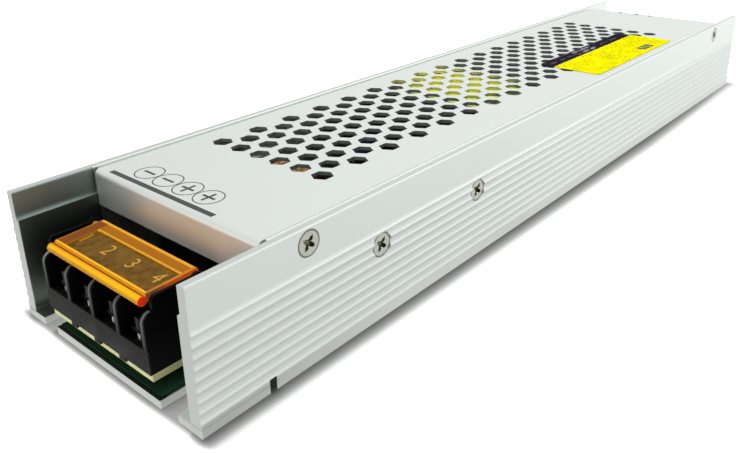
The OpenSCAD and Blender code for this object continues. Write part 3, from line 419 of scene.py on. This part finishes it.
def plus_outline(centre, size, thick):
    """The twelve corners of an upright cross, counter-clockwise: one arm's three corners, turned four times
    by a quarter."""
    arm = np.array([[thick, -thick], [size, -thick], [size, thick]]) / 2
    quarter = np.array([[0, -1], [1, 0]])
    turns = [arm @ np.linalg.matrix_power(quarter, k).T for k in range(4)]
    return np.asarray(centre) + np.concatenate(turns)


def piece(name, shapes, material, body):
    """Joins shapes given in millimetres into one mesh object that rides on a body."""
    points, faces, start = [], [], 0
    for shape_points, shape_faces in shapes:
        points.append(shape_points)
        faces += [[start + k for k in face] for face in shape_faces]
        start += len(shape_points)
    mesh = bpy.data.meshes.new(name)
    mesh.from_pydata((np.concatenate(points) * MM).tolist(), [], faces)
    mesh.materials.append(material)
    made = bpy.data.objects.new(name, mesh)
    scene.collection.objects.link(made)
    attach(made, body)
    return made


# thin dark print, a little grey where the sheet shows through
ink, tree, shader = grained("black_screen_ink", 0.0, 0.8, ("#262b27", "#343a36"), (0.48, 0.62))
printed_z = (COVER_TOP, COVER_TOP + INK_T)
marks = [slab(box_outline(STRIPE_PLACE, STRIPE_SIZE), *printed_z)]
marks += [hoop((MARK_X, y), MARK_R, MARK_R - RING_LINE, *printed_z) for y in MINUS_Y + PLUS_Y]
marks += [slab(box_outline((MARK_X, y), (SIGN_W, SIGN_L)), *printed_z) for y in MINUS_Y]
marks += [slab(plus_outline((MARK_X, y), SIGN_L, SIGN_W), *printed_z) for y in PLUS_Y]
piece("output_pole_print", marks, ink, "case")
far_marks = [slab(box_outline((FAR_MARK_X, y), FAR_MARK_SIZE), *printed_z) for y in FAR_MARK_Y]
piece("input_pole_print", far_marks, ink, "case")

# Label. Yellow vinyl film with a dark band along one side, stuck down over the last holes; broken rules
# stand for its print, with no letter among them.
BAND_Y, MID_START, MID_END = -8.55, 33.5, 45.0
# pitch of the lines, share of it that is line, length of a piece of line and share of pieces printed
FINE_RULES, BOLD_RULES, MID_RULES = (1.1, 0.45, 1.0, 0.52), (2.3, 0.4, 2.6, 0.5), (1.9, 0.6, 1.3, 0.52)
PATCH_L, PATCH_W, PATCH_START, PATCH_FULL = 6.667, 3.846, 0.38, 0.55
BARS_X, BARS_Y, BAR_SIZE = (52.6, 55.2, 57.8), -19.2, (2.0, 2.9)
LABEL_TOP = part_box("rating_label")[1].z / MM


def patches(tree, length_mm, width_mm):
    """Soft noise of one spacing along X and another along Y, the same through the thickness."""
    scale = (1 / (length_mm * MM), 1 / (width_mm * MM), 0.0)
    there = put(tree, "Mapping", {"Vector": put(tree, "TexCoord", out="Object"), "Scale": scale})
    return put(tree, "TexNoise", {"Vector": there, "Scale": 1.0, "Detail": 1.0}, "Fac")


def broken_rules(tree, pitch_mm, share, break_mm, dense):
    """One on print and nought between: lines along X at a pitch in Y, each a share of the pitch thick, cut
    into pieces where a noise of a given spacing falls below a level."""
    row = put(tree, "Math", {0: coordinate(tree, "Y"), 1: 1 / (pitch_mm * MM)}, operation="MULTIPLY")
    part = put(tree, "Math", {0: row}, operation="FRACT")
    line = put(tree, "Math", {0: part, 1: share}, operation="LESS_THAN")
    noise = patches(tree, break_mm, pitch_mm)
    return all_of(tree, line, put(tree, "Math", {0: noise, 1: 1 - dense}, operation="GREATER_THAN"))


# strong yellow and near-black fields without gloss, and the texture of small print
vinyl, tree, shader = finish("printed_yellow_vinyl", roughness=0.38)
on_band = put(tree, "Math", {0: coordinate(tree, "Y"), 1: BAND_Y * MM}, operation="GREATER_THAN")
patch = put(tree, "MapRange", {"Value": patches(tree, PATCH_L, PATCH_W), "From Min": PATCH_START,
                               "From Max": PATCH_FULL})
fine_print = all_of(tree, broken_rules(tree, *FINE_RULES), patch)
mid_print = all_of(tree, broken_rules(tree, *MID_RULES), between(tree, "X", MID_START, MID_END, soft_mm=0.3))
yellow = layers(tree, "#e6df0a", (fine_print, "#aca206"))
band = layers(tree, "#26212b", (broken_rules(tree, *BOLD_RULES), "#4e4854"), (mid_print, "#8e8a93"))
tree.links.new(layers(tree, yellow, (on_band, band)), shader.inputs["Base Color"])
shader.inputs["Specular IOR Level"].default_value = 0.0
dress(vinyl, "rating_label")
bars = [slab(box_outline((x, BARS_Y), BAR_SIZE), LABEL_TOP, LABEL_TOP + INK_T) for x in BARS_X]
piece("label_bar", bars, ink, "case")

# Case screws. Nickel-plated countersunk steel screws with a cross recess, driven in until they are level with
# the wall; the recess and the gap round the head carry painted shade.
WALL_FACE, HEAD_R, RING_W, SINK_LOW, SINK_HIGH = 26.25, 2.45, 0.3, 0.3, 0.08
# each row's place along X, half of the distance between its screws, its height, and the screws in it
SCREW_ROWS = {"cover": (100.4, 0.0, 23.0, ["cover_screws"]),
              "clamp": (66.35, 15.85, 15.3, ["rectifier_screws", "transistor_screws"])}


def from_axes(tree, middle, half, height):
    """Distance in metres from the nearest screw axis, the axes standing half to either side of a middle, at a
    height, mirrored in the plane across the part's length."""
    x = put(tree, "Math", {0: coordinate(tree, "X")}, operation="ABSOLUTE")
    aside = put(tree, "Math", {0: x, 1: middle * MM}, operation="SUBTRACT")
    apart = put(tree, "Math", {0: aside}, operation="ABSOLUTE")
    x_away = put(tree, "Math", {0: apart, 1: half * MM}, operation="SUBTRACT")
    z_away = put(tree, "Math", {0: coordinate(tree, "Z"), 1: height * MM}, operation="SUBTRACT")
    away = put(tree, "CombineXYZ", {0: x_away, 1: z_away})
    return put(tree, "VectorMath", {0: away}, "Value", operation="LENGTH")


# worn nickel on the head, painted brown shade in the cross and a dark ring of painted shade in the gap round
# it
for row, (middle, half, height, screws) in SCREW_ROWS.items():
    screw_nickel, tree, shader = grained("worn_nickel_" + row + "_screw", 1.0, 0.9, ("#b2b6aa", "#ced1c7"),
                                         (0.30, 0.44), 0.003)
    ring = inside(tree, from_axes(tree, middle, half, height), (HEAD_R - RING_W) * MM, OPEN * MM, 0.08 * MM)
    at_face = beyond(tree, "Y", WALL_FACE - SINK_LOW, WALL_FACE - SINK_HIGH)
    sunk = put(tree, "Math", {0: 1.0, 1: at_face}, operation="SUBTRACT")
    # painted shade in the gap round the head and in the recess
    painted(tree, shader, (ring, "#7d7d74"), (sunk, "#86866e"))
    dress(screw_nickel, *screws)
# the same plating where it lies inside, bright and plain
nickel, tree, shader = grained("nickel_plated_steel", 1.0, 0.9, ("#b9b5a3", "#cbc8b8"), (0.26, 0.40), 0.003)
dress(nickel, "board_screws", "rectifier_clamp", "transistor_clamp")

# Insulating sheet. Dark green pressed fibre board between the floor and the circuit board, cut to clear the
# mounting slots and held by the board's screws.
# a dull green that is nearly black in the shade of the block
fibre, tree, shader = grained("green_fibre_sheet", 0.0, (1.5, 0.6, 0.6), ("#16301f", "#1f4230"),
                              (0.55, 0.7), 0.01)
shader.inputs["Specular IOR Level"].default_value = 0.08
dress(fibre, "insulating_sheet")

# Circuit board. Pressed paper laminate, cream at its cut edge and coated dark green on top, screwed down on
# turned brass standoffs.
BOARD_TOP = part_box("main_board")[1].z / MM
# a pale line at the front edge and a dark floor under the parts
laminate, tree, shader = grained("coated_laminate", 0.0, (2.0, 1.0, 0.3), ("#dcdb9a", "#ecebb4"), (0.5, 0.62))
painted(tree, shader, (between(tree, "Z", BOARD_TOP - 0.03, OPEN), "#202c25"))
dress(laminate, "main_board")
# pale turned brass with rings round it
brass, tree, shader = grained("turned_brass", 1.0, (1.0, 1.0, 0.2), ("#c2aa6c", "#d2bd88"), (0.3, 0.42))
dress(brass, "board_standoffs")

# Terminal blocks. Black glass-filled nylon mouldings, soldered to the board, with painted light on their
# front faces, and zinc plated plates, washers and screws in their chambers, painted nearly black: painted
# shade.
BLOCK_FRONT, SILL_Z, WALL_TOP, BLOCK_EDGE = 124.2, 9.4, 16.0, 0.12
WALL_MIDDLE, WALL_STEP, WALL_HALF, ROUND_D = 2.15, 3.81, 0.3, 1.7
PLATE_FRONT, PLATE_GLINT_MIDDLE, PLATE_GLINT_HALF, PLATE_GLINT_METALLIC = 122.9, -2.1, 0.35, 0.1
MERGE_M, FLAT_ANGLE, SHARP_ANGLE, CREASE_ANGLE = 1e-6, *np.radians((0.5, 35.0, 20.0))


def softened(node, body, material, edge_mm):
    """A copy of a CAD node: triangles merged, flat runs joined into one face each, and every outer sharp edge
    cut by a narrow bevel that catches the light."""
    mesh = nodes[node].data.copy()
    mesh.name = node + "_soft"
    work = bmesh.new()
    work.from_mesh(mesh)
    bmesh.ops.remove_doubles(work, verts=work.verts, dist=MERGE_M)
    bmesh.ops.dissolve_limit(work, angle_limit=FLAT_ANGLE, verts=work.verts, edges=work.edges)
    sharp = [e for e in work.edges if len(e.link_faces) == 2 and e.is_convex
             and e.calc_face_angle() > SHARP_ANGLE]
    bmesh.ops.bevel(work, geom=sharp, offset=edge_mm * MM, segments=2, profile=0.5, affect="EDGES",
                    clamp_overlap=True)
    work.to_mesh(mesh)
    work.free()
    mesh.polygons.foreach_set("use_smooth", np.ones(len(mesh.polygons), bool))
    mesh.set_sharp_from_angle(angle=CREASE_ANGLE)
    mesh.materials.clear()
    mesh.materials.append(material)
    made = bpy.data.objects.new(mesh.name, mesh)
    scene.collection.objects.link(made)
    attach(made, body)
    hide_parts(node)
    return made


def on_row(tree, middle_mm, half_mm, soft_mm):
    """One within half a width of the nearest of a row of planes across Y, one wall step apart, with one of
    them at the middle."""
    y = put(tree, "Math", {0: coordinate(tree, "Y"), 1: middle_mm * MM}, operation="SUBTRACT")
    away = put(tree, "Math", {0: y, 1: WALL_STEP / 2 * MM}, operation="PINGPONG")
    return inside(tree, away, -OPEN * MM, half_mm * MM, soft_mm * MM)


# black inside the chambers, painted light on the front below the sill, and a painted highlight on the front
# edges of the partitions, paler towards their tops
nylon, tree, shader = grained("black_moulded_nylon", 0.0, 0.5, ("#030303", "#060606"), (0.42, 0.56), 0.004)
front_painted_light = all_of(tree, beyond(tree, "X", BLOCK_FRONT - 0.35, BLOCK_FRONT - 0.12),
                    between(tree, "Z", 0.0, SILL_Z, soft_mm=0.02))
sideways = put(tree, "Math", {0: facing(tree, "Y")}, operation="ABSOLUTE")
edge_ahead = put(tree, "Math", {0: sideways, 1: FACING}, operation="LESS_THAN")
wall_edge_highlight = all_of(tree, on_row(tree, WALL_MIDDLE, WALL_HALF, soft_mm=0.06), edge_ahead,
                   beyond(tree, "X", BLOCK_FRONT - ROUND_D, BLOCK_FRONT - ROUND_D + 0.1),
                   between(tree, "Z", SILL_Z, OPEN, soft_mm=0.02))
rise = put(tree, "MapRange", {"Value": coordinate(tree, "Z"), "From Min": SILL_Z * MM,
                              "From Max": WALL_TOP * MM})
# painted light on the front, painted highlight on the partition edges
painted(tree, shader, (front_painted_light, "#222221"), (wall_edge_highlight, layers(tree, "#2c2d2b", (rise, "#757873"))))
shader.inputs["Specular IOR Level"].default_value = 0.08
for end in ("output", "input"):
    softened(end + "_block", "case", nylon, BLOCK_EDGE)
# nearly black metal, painted shade of the chambers it lies in, with a few small glints
SHADED_ZINC = {"metallic": 1.0, "spacing_mm": 0.6, "colours": ("#050506", "#121214"), "rough": (0.18, 0.34)}
zinc_in_painted_shade, tree, shader = grained("zinc_plating_painted_shade", **SHADED_ZINC)
dress(zinc_in_painted_shade, "output_washers", "input_washers", "output_clamp_screws", "input_clamp_screws")
# the same on the plates, with a white, less metallic painted glint at the middle of their front edges
plate_zinc, tree, shader = grained("zinc_plating_painted_glint", **SHADED_ZINC)
# painted glint: a white spot on each plate's front edge
plate_glint = all_of(tree, on_row(tree, PLATE_GLINT_MIDDLE, PLATE_GLINT_HALF, soft_mm=0.08),
             beyond(tree, "X", PLATE_FRONT - 0.3, PLATE_FRONT - 0.2))
painted(tree, shader, (plate_glint, "#f2f2ee"))
plate_glint_dull = put(tree, "MapRange", {"Value": plate_glint, "To Min": 1.0, "To Max": PLATE_GLINT_METALLIC})
tree.links.new(plate_glint_dull, shader.inputs["Metallic"])
dress(plate_zinc, "output_plates", "input_plates")

# Lids. Amber polycarbonate, moulded, hinged on two pins: the thick bead, rims and ends carry painted light
# and shade and some edges a painted glow, the thin sunk window is seen through to the black block, and raised
# gold numerals count the poles.
LID_TILT, PIVOT_A, PIVOT_Z, LID_EDGE = np.radians(2.5), 10.6, 17.8, 0.2
# millimetres behind the block's front, along the slope: bead, groove, window and back rim
BEAD_END, GROOVE_END, WINDOW_START, WINDOW_END, BACK_START = 1.1, 1.6, 2.2, 8.85, 10.75
PANE_START, BACK_WALL = WINDOW_START + 0.35, (WINDOW_END - 0.3, WINDOW_END + 0.3)
GLINT_START, GLINT_END, GLINT_SOFT = 0.2, 0.6, 0.25
BEAD_LOW, BEAD_HIGH, REDDER_START, REDDER_END = 16.8, 18.4, 3.5, 6.0
# millimetres from the right or left end
RIM_RIGHT, RIM_LEFT, END_W, DULLER_START, DULLER_END = 0.6, 2.7, 0.22, 4.0, 24.0
SPECK, SPECK_LOW, SPECK_HIGH = 1.6, 0.3, 0.7
RIM_CLEAR, PANE_CLEAR, EDGE_GLOW, LEVEL_FACE = 0.08, 0.45, 0.3, 0.96


def tilted(behind, height, angle):
    """Places behind the block's front, and their heights, turned about the lid's pins by an angle."""
    back, up = behind - PIVOT_A, height - PIVOT_Z
    return (PIVOT_A + back * np.cos(angle) - up * np.sin(angle),
            PIVOT_Z + back * np.sin(angle) + up * np.cos(angle))


def behind_front(points, end_sign):
    """How far points in millimetres lie behind the block's front, along the lid's slope."""
    return tilted(BLOCK_FRONT + end_sign * points[:, 0], points[:, 2], -LID_TILT)[0]


# flat parts are clear and brown over the black block; the bead, rims, edges and ends carry painted light and
# shade in yellow, orange and red: darker low on the bead and towards its left, a painted highlight along it,
# painted shade in the groove and on the left rim, bright painted lines at the window's step and back wall,
# and a painted glow from the back wall and the right end
amber, tree, shader = finish("amber_polycarbonate", roughness=0.2)
flat = put(tree, "Attribute", out="Fac", attribute_name="lid_flat")
lid_place = put(tree, "Attribute", out="Vector", attribute_name="lid_place")
from_front, from_right, from_left = put(tree, "SeparateXYZ", {0: lid_place}).node.outputs
bead_rise = put(tree, "MapRange", {"Value": coordinate(tree, "Z"), "From Min": BEAD_LOW * MM,
                                   "From Max": BEAD_HIGH * MM})
to_left = put(tree, "MapRange", {"Value": from_right, "From Min": DULLER_START, "From Max": DULLER_END})
bead_top = layers(tree, "#eca414", (to_left, "#dc8c1c"))
# painted highlight along the bead
glint = all_of(tree, bead_rise, inside(tree, from_front, GLINT_START, GLINT_END, GLINT_SOFT))
back_wall = inside(tree, from_front, *BACK_WALL, 0.05)
back_rim = all_of(tree, flat, inside(tree, from_front, WINDOW_END, BACK_START, 0.1))
left_rim = all_of(tree, flat, inside(tree, from_front, WINDOW_START, BACK_START, 0.05),
                  inside(tree, from_left, -OPEN, RIM_LEFT, 0.05))
right_rim = all_of(tree, flat, inside(tree, from_right, -OPEN, RIM_RIGHT, 0.05))
window = all_of(tree, flat, inside(tree, from_front, PANE_START, WINDOW_END, 0.02),
                inside(tree, from_right, RIM_RIGHT, OPEN, 0.02),
                inside(tree, from_left, RIM_LEFT, OPEN, 0.02))
speck_where = put(tree, "TexCoord", out="Object")
speck = put(tree, "TexNoise", {"Vector": speck_where, "Scale": 1 / (SPECK * MM), "Detail": 1.0}, "Fac")
mottle = put(tree, "MapRange", {"Value": speck, "From Min": SPECK_LOW, "From Max": SPECK_HIGH})
right_end = inside(tree, from_right, -OPEN, END_W, 0.03)
left_end = inside(tree, from_left, -OPEN, END_W, 0.03)
bead_end = all_of(tree, right_end, inside(tree, from_front, -OPEN, GROOVE_END, 0.1))
redder = put(tree, "MapRange", {"Value": from_front, "From Min": REDDER_START, "From Max": REDDER_END})
tone = layers(tree, "#a05c18", (bead_rise, bead_top), (glint, "#fbc41c"),
              (inside(tree, from_front, BEAD_END, GROOVE_END, 0.1), "#7a3c02"),
              (inside(tree, from_front, GROOVE_END, PANE_START, 0.05), "#f4ac20"),
              (inside(tree, from_front, PANE_START, BACK_WALL[0], 0.05), "#d89a40"),
              (back_wall, "#ffc23a"), (back_rim, "#9e6010"),
              (inside(tree, from_front, BACK_START, OPEN, 0.1), "#dc9a1e"),
              (left_rim, "#7a4410"), (window, layers(tree, "#6c4a0a", (mottle, "#8e6816"))),
              (right_rim, "#b0762a"), (right_end, layers(tree, "#8a5228", (redder, "#e0681c"))),
              (bead_end, "#e03412"), (left_end, "#a8703c"))
# painted glow: the back wall and the right end give off light of their own colour
steep = put(tree, "Math", {0: 1.0, 1: flat}, operation="SUBTRACT")
lit_edge = all_of(tree, steep, put(tree, "Math", {0: back_wall, 1: right_end}, operation="MAXIMUM"))
glow = put(tree, "Math", {0: lit_edge, 1: EDGE_GLOW}, operation="MULTIPLY")
clear = put(tree, "MapRange", {"Value": window, "To Min": RIM_CLEAR, "To Max": PANE_CLEAR})
for socket, value in (("Base Color", tone), ("Emission Color", tone), ("Emission Strength", glow),
                      ("Transmission Weight", clear)):
    tree.links.new(value, shader.inputs[socket])
shader.inputs["IOR"].default_value = 1.2
shader.inputs["Specular IOR Level"].default_value = 0.12
lid_middles = {}
for end, end_sign in (("output", 1.0), ("input", -1.0)):
    lid = softened(end + "_lid", end + "_cap", amber, LID_EDGE)
    corners = np.empty(len(lid.data.vertices) * 3)
    lid.data.vertices.foreach_get("co", corners)
    spots = corners.reshape(-1, 3) / MM
    behind, aside = behind_front(spots, end_sign), end_sign * spots[:, 1]
    right, left = aside[behind < BEAD_END].min(), aside[behind < BEAD_END].max()
    lid_middles[end] = end_sign * (right + left) / 2
    kept = lid.data.attributes.new("lid_place", "FLOAT_VECTOR", "POINT")
    kept.data.foreach_set("vector", np.column_stack([behind, aside - right, left - aside]).ravel())
    normals, centres = np.empty((2, len(lid.data.polygons) * 3))
    lid.data.polygons.foreach_get("normal", normals)
    lid.data.polygons.foreach_get("center", centres)
    level = np.abs(normals.reshape(-1, 3)[:, 2]) > LEVEL_FACE
    past_bead = behind_front(centres.reshape(-1, 3) / MM, end_sign) > WINDOW_START
    kept = lid.data.attributes.new("lid_flat", "FLOAT", "FACE")
    kept.data.foreach_set("value", (level & past_bead).astype(np.float32))

WINDOW_Z, NUMERAL_H, NUMERAL_T, NUMERAL_A, NUMERAL_STEP = 18.7, 3.0, 0.10, 6.1, 7.25
# size of the type over the height of its digits, and points along each curve of it
TYPE_SIZE, TYPE_STEPS = 1.38, 3


def numeral(text, middle_y, end_sign):
    """One character as a thin raised solid on a lid's window: its outline carried up by the thickness, laid
    on the lid's slope and read from the end that the lid faces."""
    curve = bpy.data.curves.new("numeral", "FONT")
    curve.body, curve.size = text, NUMERAL_H * TYPE_SIZE * MM
    curve.extrude, curve.resolution_u = NUMERAL_T / 2 * MM, TYPE_STEPS
    maker = bpy.data.objects.new("numeral", curve)
    mesh = bpy.data.meshes.new_from_object(maker)
    corners = np.empty(len(mesh.vertices) * 3)
    mesh.vertices.foreach_get("co", corners)
    shape = corners.reshape(-1, 3) / MM
    shape -= (shape.min(axis=0) + shape.max(axis=0)) / 2
    behind, z = tilted(NUMERAL_A + shape[:, 1], WINDOW_Z + NUMERAL_T / 2 + shape[:, 2], LID_TILT)
    points = np.column_stack([end_sign * (behind - BLOCK_FRONT), middle_y - end_sign * shape[:, 0], z])
    faces = [list(face.vertices) for face in mesh.polygons]
    bpy.data.objects.remove(maker)
    return points, faces


# moulded-in gold that stands out of the brown window
gold, tree, shader = grained("gold_moulded_numeral", 0.0, 0.6, ("#a87814", "#bd8c18"), (0.3, 0.4))
for end, end_sign, poles in (("output", 1.0, 4), ("input", -1.0, 3)):
    middles = lid_middles[end] + end_sign * ((poles - 1) / 2 - np.arange(poles)) * NUMERAL_STEP
    digits = [numeral(str(i + 1), y, end_sign) for i, y in enumerate(middles)]
    piece(end + "_numerals", digits, gold, end + "_cap")

# Power devices. Rectifiers, transistors, the bridge and the control chip are moulded in black epoxy; the
# first two are pressed to the walls by steel bars, with grey silicone pads between that pass on their heat.
# matt black with a faint tooth, hardly lit between the walls
epoxy, tree, shader = grained("black_epoxy", 0.0, 0.6, ("#171719", "#222225"), (0.45, 0.58), 0.004)
dress(epoxy, "rectifiers", "transistors", "bridge_rectifier", "control_chip")
# a flat mid grey without gloss
silicone, tree, shader = grained("grey_silicone_pad", 0.0, 0.7, ("#939ca1", "#a4adb2"), (0.65, 0.78))
dress(silicone, "rectifier_pad", "transistor_pad")

# Transformer. A core of two pressed and sintered ferrite halves round a moulded former, its winding wrapped
# in yellow polyester tape; the ferrite and the former's plastic serve the chokes as well.
# dark grey and dull, with the fine pits of a fired body
ferrite, tree, shader = grained("sintered_ferrite", 0.0, 0.6, ("#343437", "#454549"), (0.5, 0.65), 0.006)
dress(ferrite, "transformer_core", "output_choke_rod", "line_choke_ring")
# brownish black with the slight sheen of a moulding
former, tree, shader = grained("black_phenolic", 0.0, 0.8, ("#252422", "#33322f"), (0.4, 0.52))
dress(former, "transformer_former", "line_choke_base")
# glossy yellow with soft wrinkles along the wrap, the brightest colour under the holes
tape, tree, shader = grained("yellow_polyester_tape", 0.0, (5.0, 2.0, 2.0), ("#c6c83e", "#dfde66"),
                             (0.24, 0.4), 0.02)
dress(tape, "transformer_winding")

# Capacitors. Aluminium cans in dark shrink sleeves, soldered to the board, standing at the output and lying
# in the middle; the standing ones show their bare tops.
CAN_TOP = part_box("output_capacitors")[1].z / MM
# a dark glossy sleeve with a silver lid
sleeve, tree, shader = grained("sleeved_can", 0.0, 1.5, ("#171a1e", "#23272c"), (0.26, 0.36))
painted(tree, shader, (between(tree, "Z", CAN_TOP - 0.03, OPEN), "#a9adab"))
dress(sleeve, "output_capacitors", "bulk_capacitors")

# Chokes. Enamelled copper wire, wound by machine on a ferrite rod at the output and in two coils on a ferrite
# ring at the input; the ring stands on a moulded base.
COPPER = {"metallic": 1.0, "spacing_mm": 0.8, "colours": ("#d49256", "#eab684"), "rough": (0.24, 0.36)}
TURN_W, GAP_START, GAP_END = 0.8, -1.0, -0.2
# warm orange metal that glints on each turn
copper, tree, shader = grained("enamelled_copper", **COPPER)
dress(copper, "output_choke_winding")
# the same wire where the coil is one solid: a bulge for each turn and painted shade in the gap between
wound_copper, tree, shader = grained("wound_enamelled_copper", **COPPER)
ring_low, ring_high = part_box("line_choke_ring")
ring_middle = ((ring_low + ring_high) / 2).to_tuple()
ring_r = (ring_high.x - ring_low.x) / 2
coil_where = put(tree, "TexCoord", out="Object")
from_middle = put(tree, "VectorMath", {0: coil_where, 1: ring_middle}, operation="SUBTRACT")
coil_place = put(tree, "SeparateXYZ", {0: from_middle}).node.outputs
coil_angle = put(tree, "Math", {0: coil_place["Y"], 1: coil_place["X"]}, operation="ARCTAN2")
turn_at = put(tree, "Math", {0: coil_angle, 1: 2 * ring_r / (TURN_W * MM)}, operation="MULTIPLY")
turn_wave = put(tree, "Math", {0: turn_at}, operation="COSINE")
turn_gap_shade = put(tree, "MapRange", {"Value": turn_wave, "From Min": GAP_START, "From Max": GAP_END,
                                  "To Min": 1.0, "To Max": 0.0})
painted(tree, shader, (turn_gap_shade, "#6a3a18"))
turn_lift = put(tree, "Bump", {"Height": turn_wave, "Strength": 1.0, "Distance": TURN_W / 4 * MM})
tree.links.new(turn_lift, shader.inputs["Normal"])
dress(wound_copper, "line_choke_windings")

# Small parts of the input end. A film capacitor in a moulded box, a glass fuse in sprung clips, ceramic discs
# dipped in lacquer and couplers moulded in white epoxy, all soldered to the board.
# smooth egg yellow with an even sheen
film_box, tree, shader = grained("yellow_film_box", 0.0, 1.5, ("#d1a022", "#e2b43a"), (0.35, 0.46))
dress(film_box, "line_filter_capacitor")
# pale and shiny, bright along its upper side
glass, tree, shader = grained("fuse_glass", 0.0, 2.0, ("#c2c8ca", "#d2d7d9"), (0.1, 0.16))
dress(glass, "fuse")
# thin sprung strip, dull silver over brass
tinned, tree, shader = grained("tinned_brass_strip", 1.0, 1.0, ("#bdb89e", "#d0ccb4"), (0.3, 0.42))
dress(tinned, "fuse_clips")
# dark green with the uneven gloss of a dipped coat
coat, tree, shader = grained("green_dip_coat", 0.0, 1.2, ("#293327", "#374433"), (0.3, 0.42), 0.02)
dress(coat, "surge_limiter")
# the same dip in a deep blue
blue_coat, tree, shader = grained("blue_dip_coat", 0.0, 1.2, ("#18283c", "#22364e"), (0.3, 0.42), 0.02)
dress(blue_coat, "safety_capacitors")
# clean white, matt all over
white_epoxy, tree, shader = grained("white_epoxy", 0.0, 0.8, ("#e5e4dc", "#f1f0ea"), (0.45, 0.56))
dress(white_epoxy, "signal_couplers")
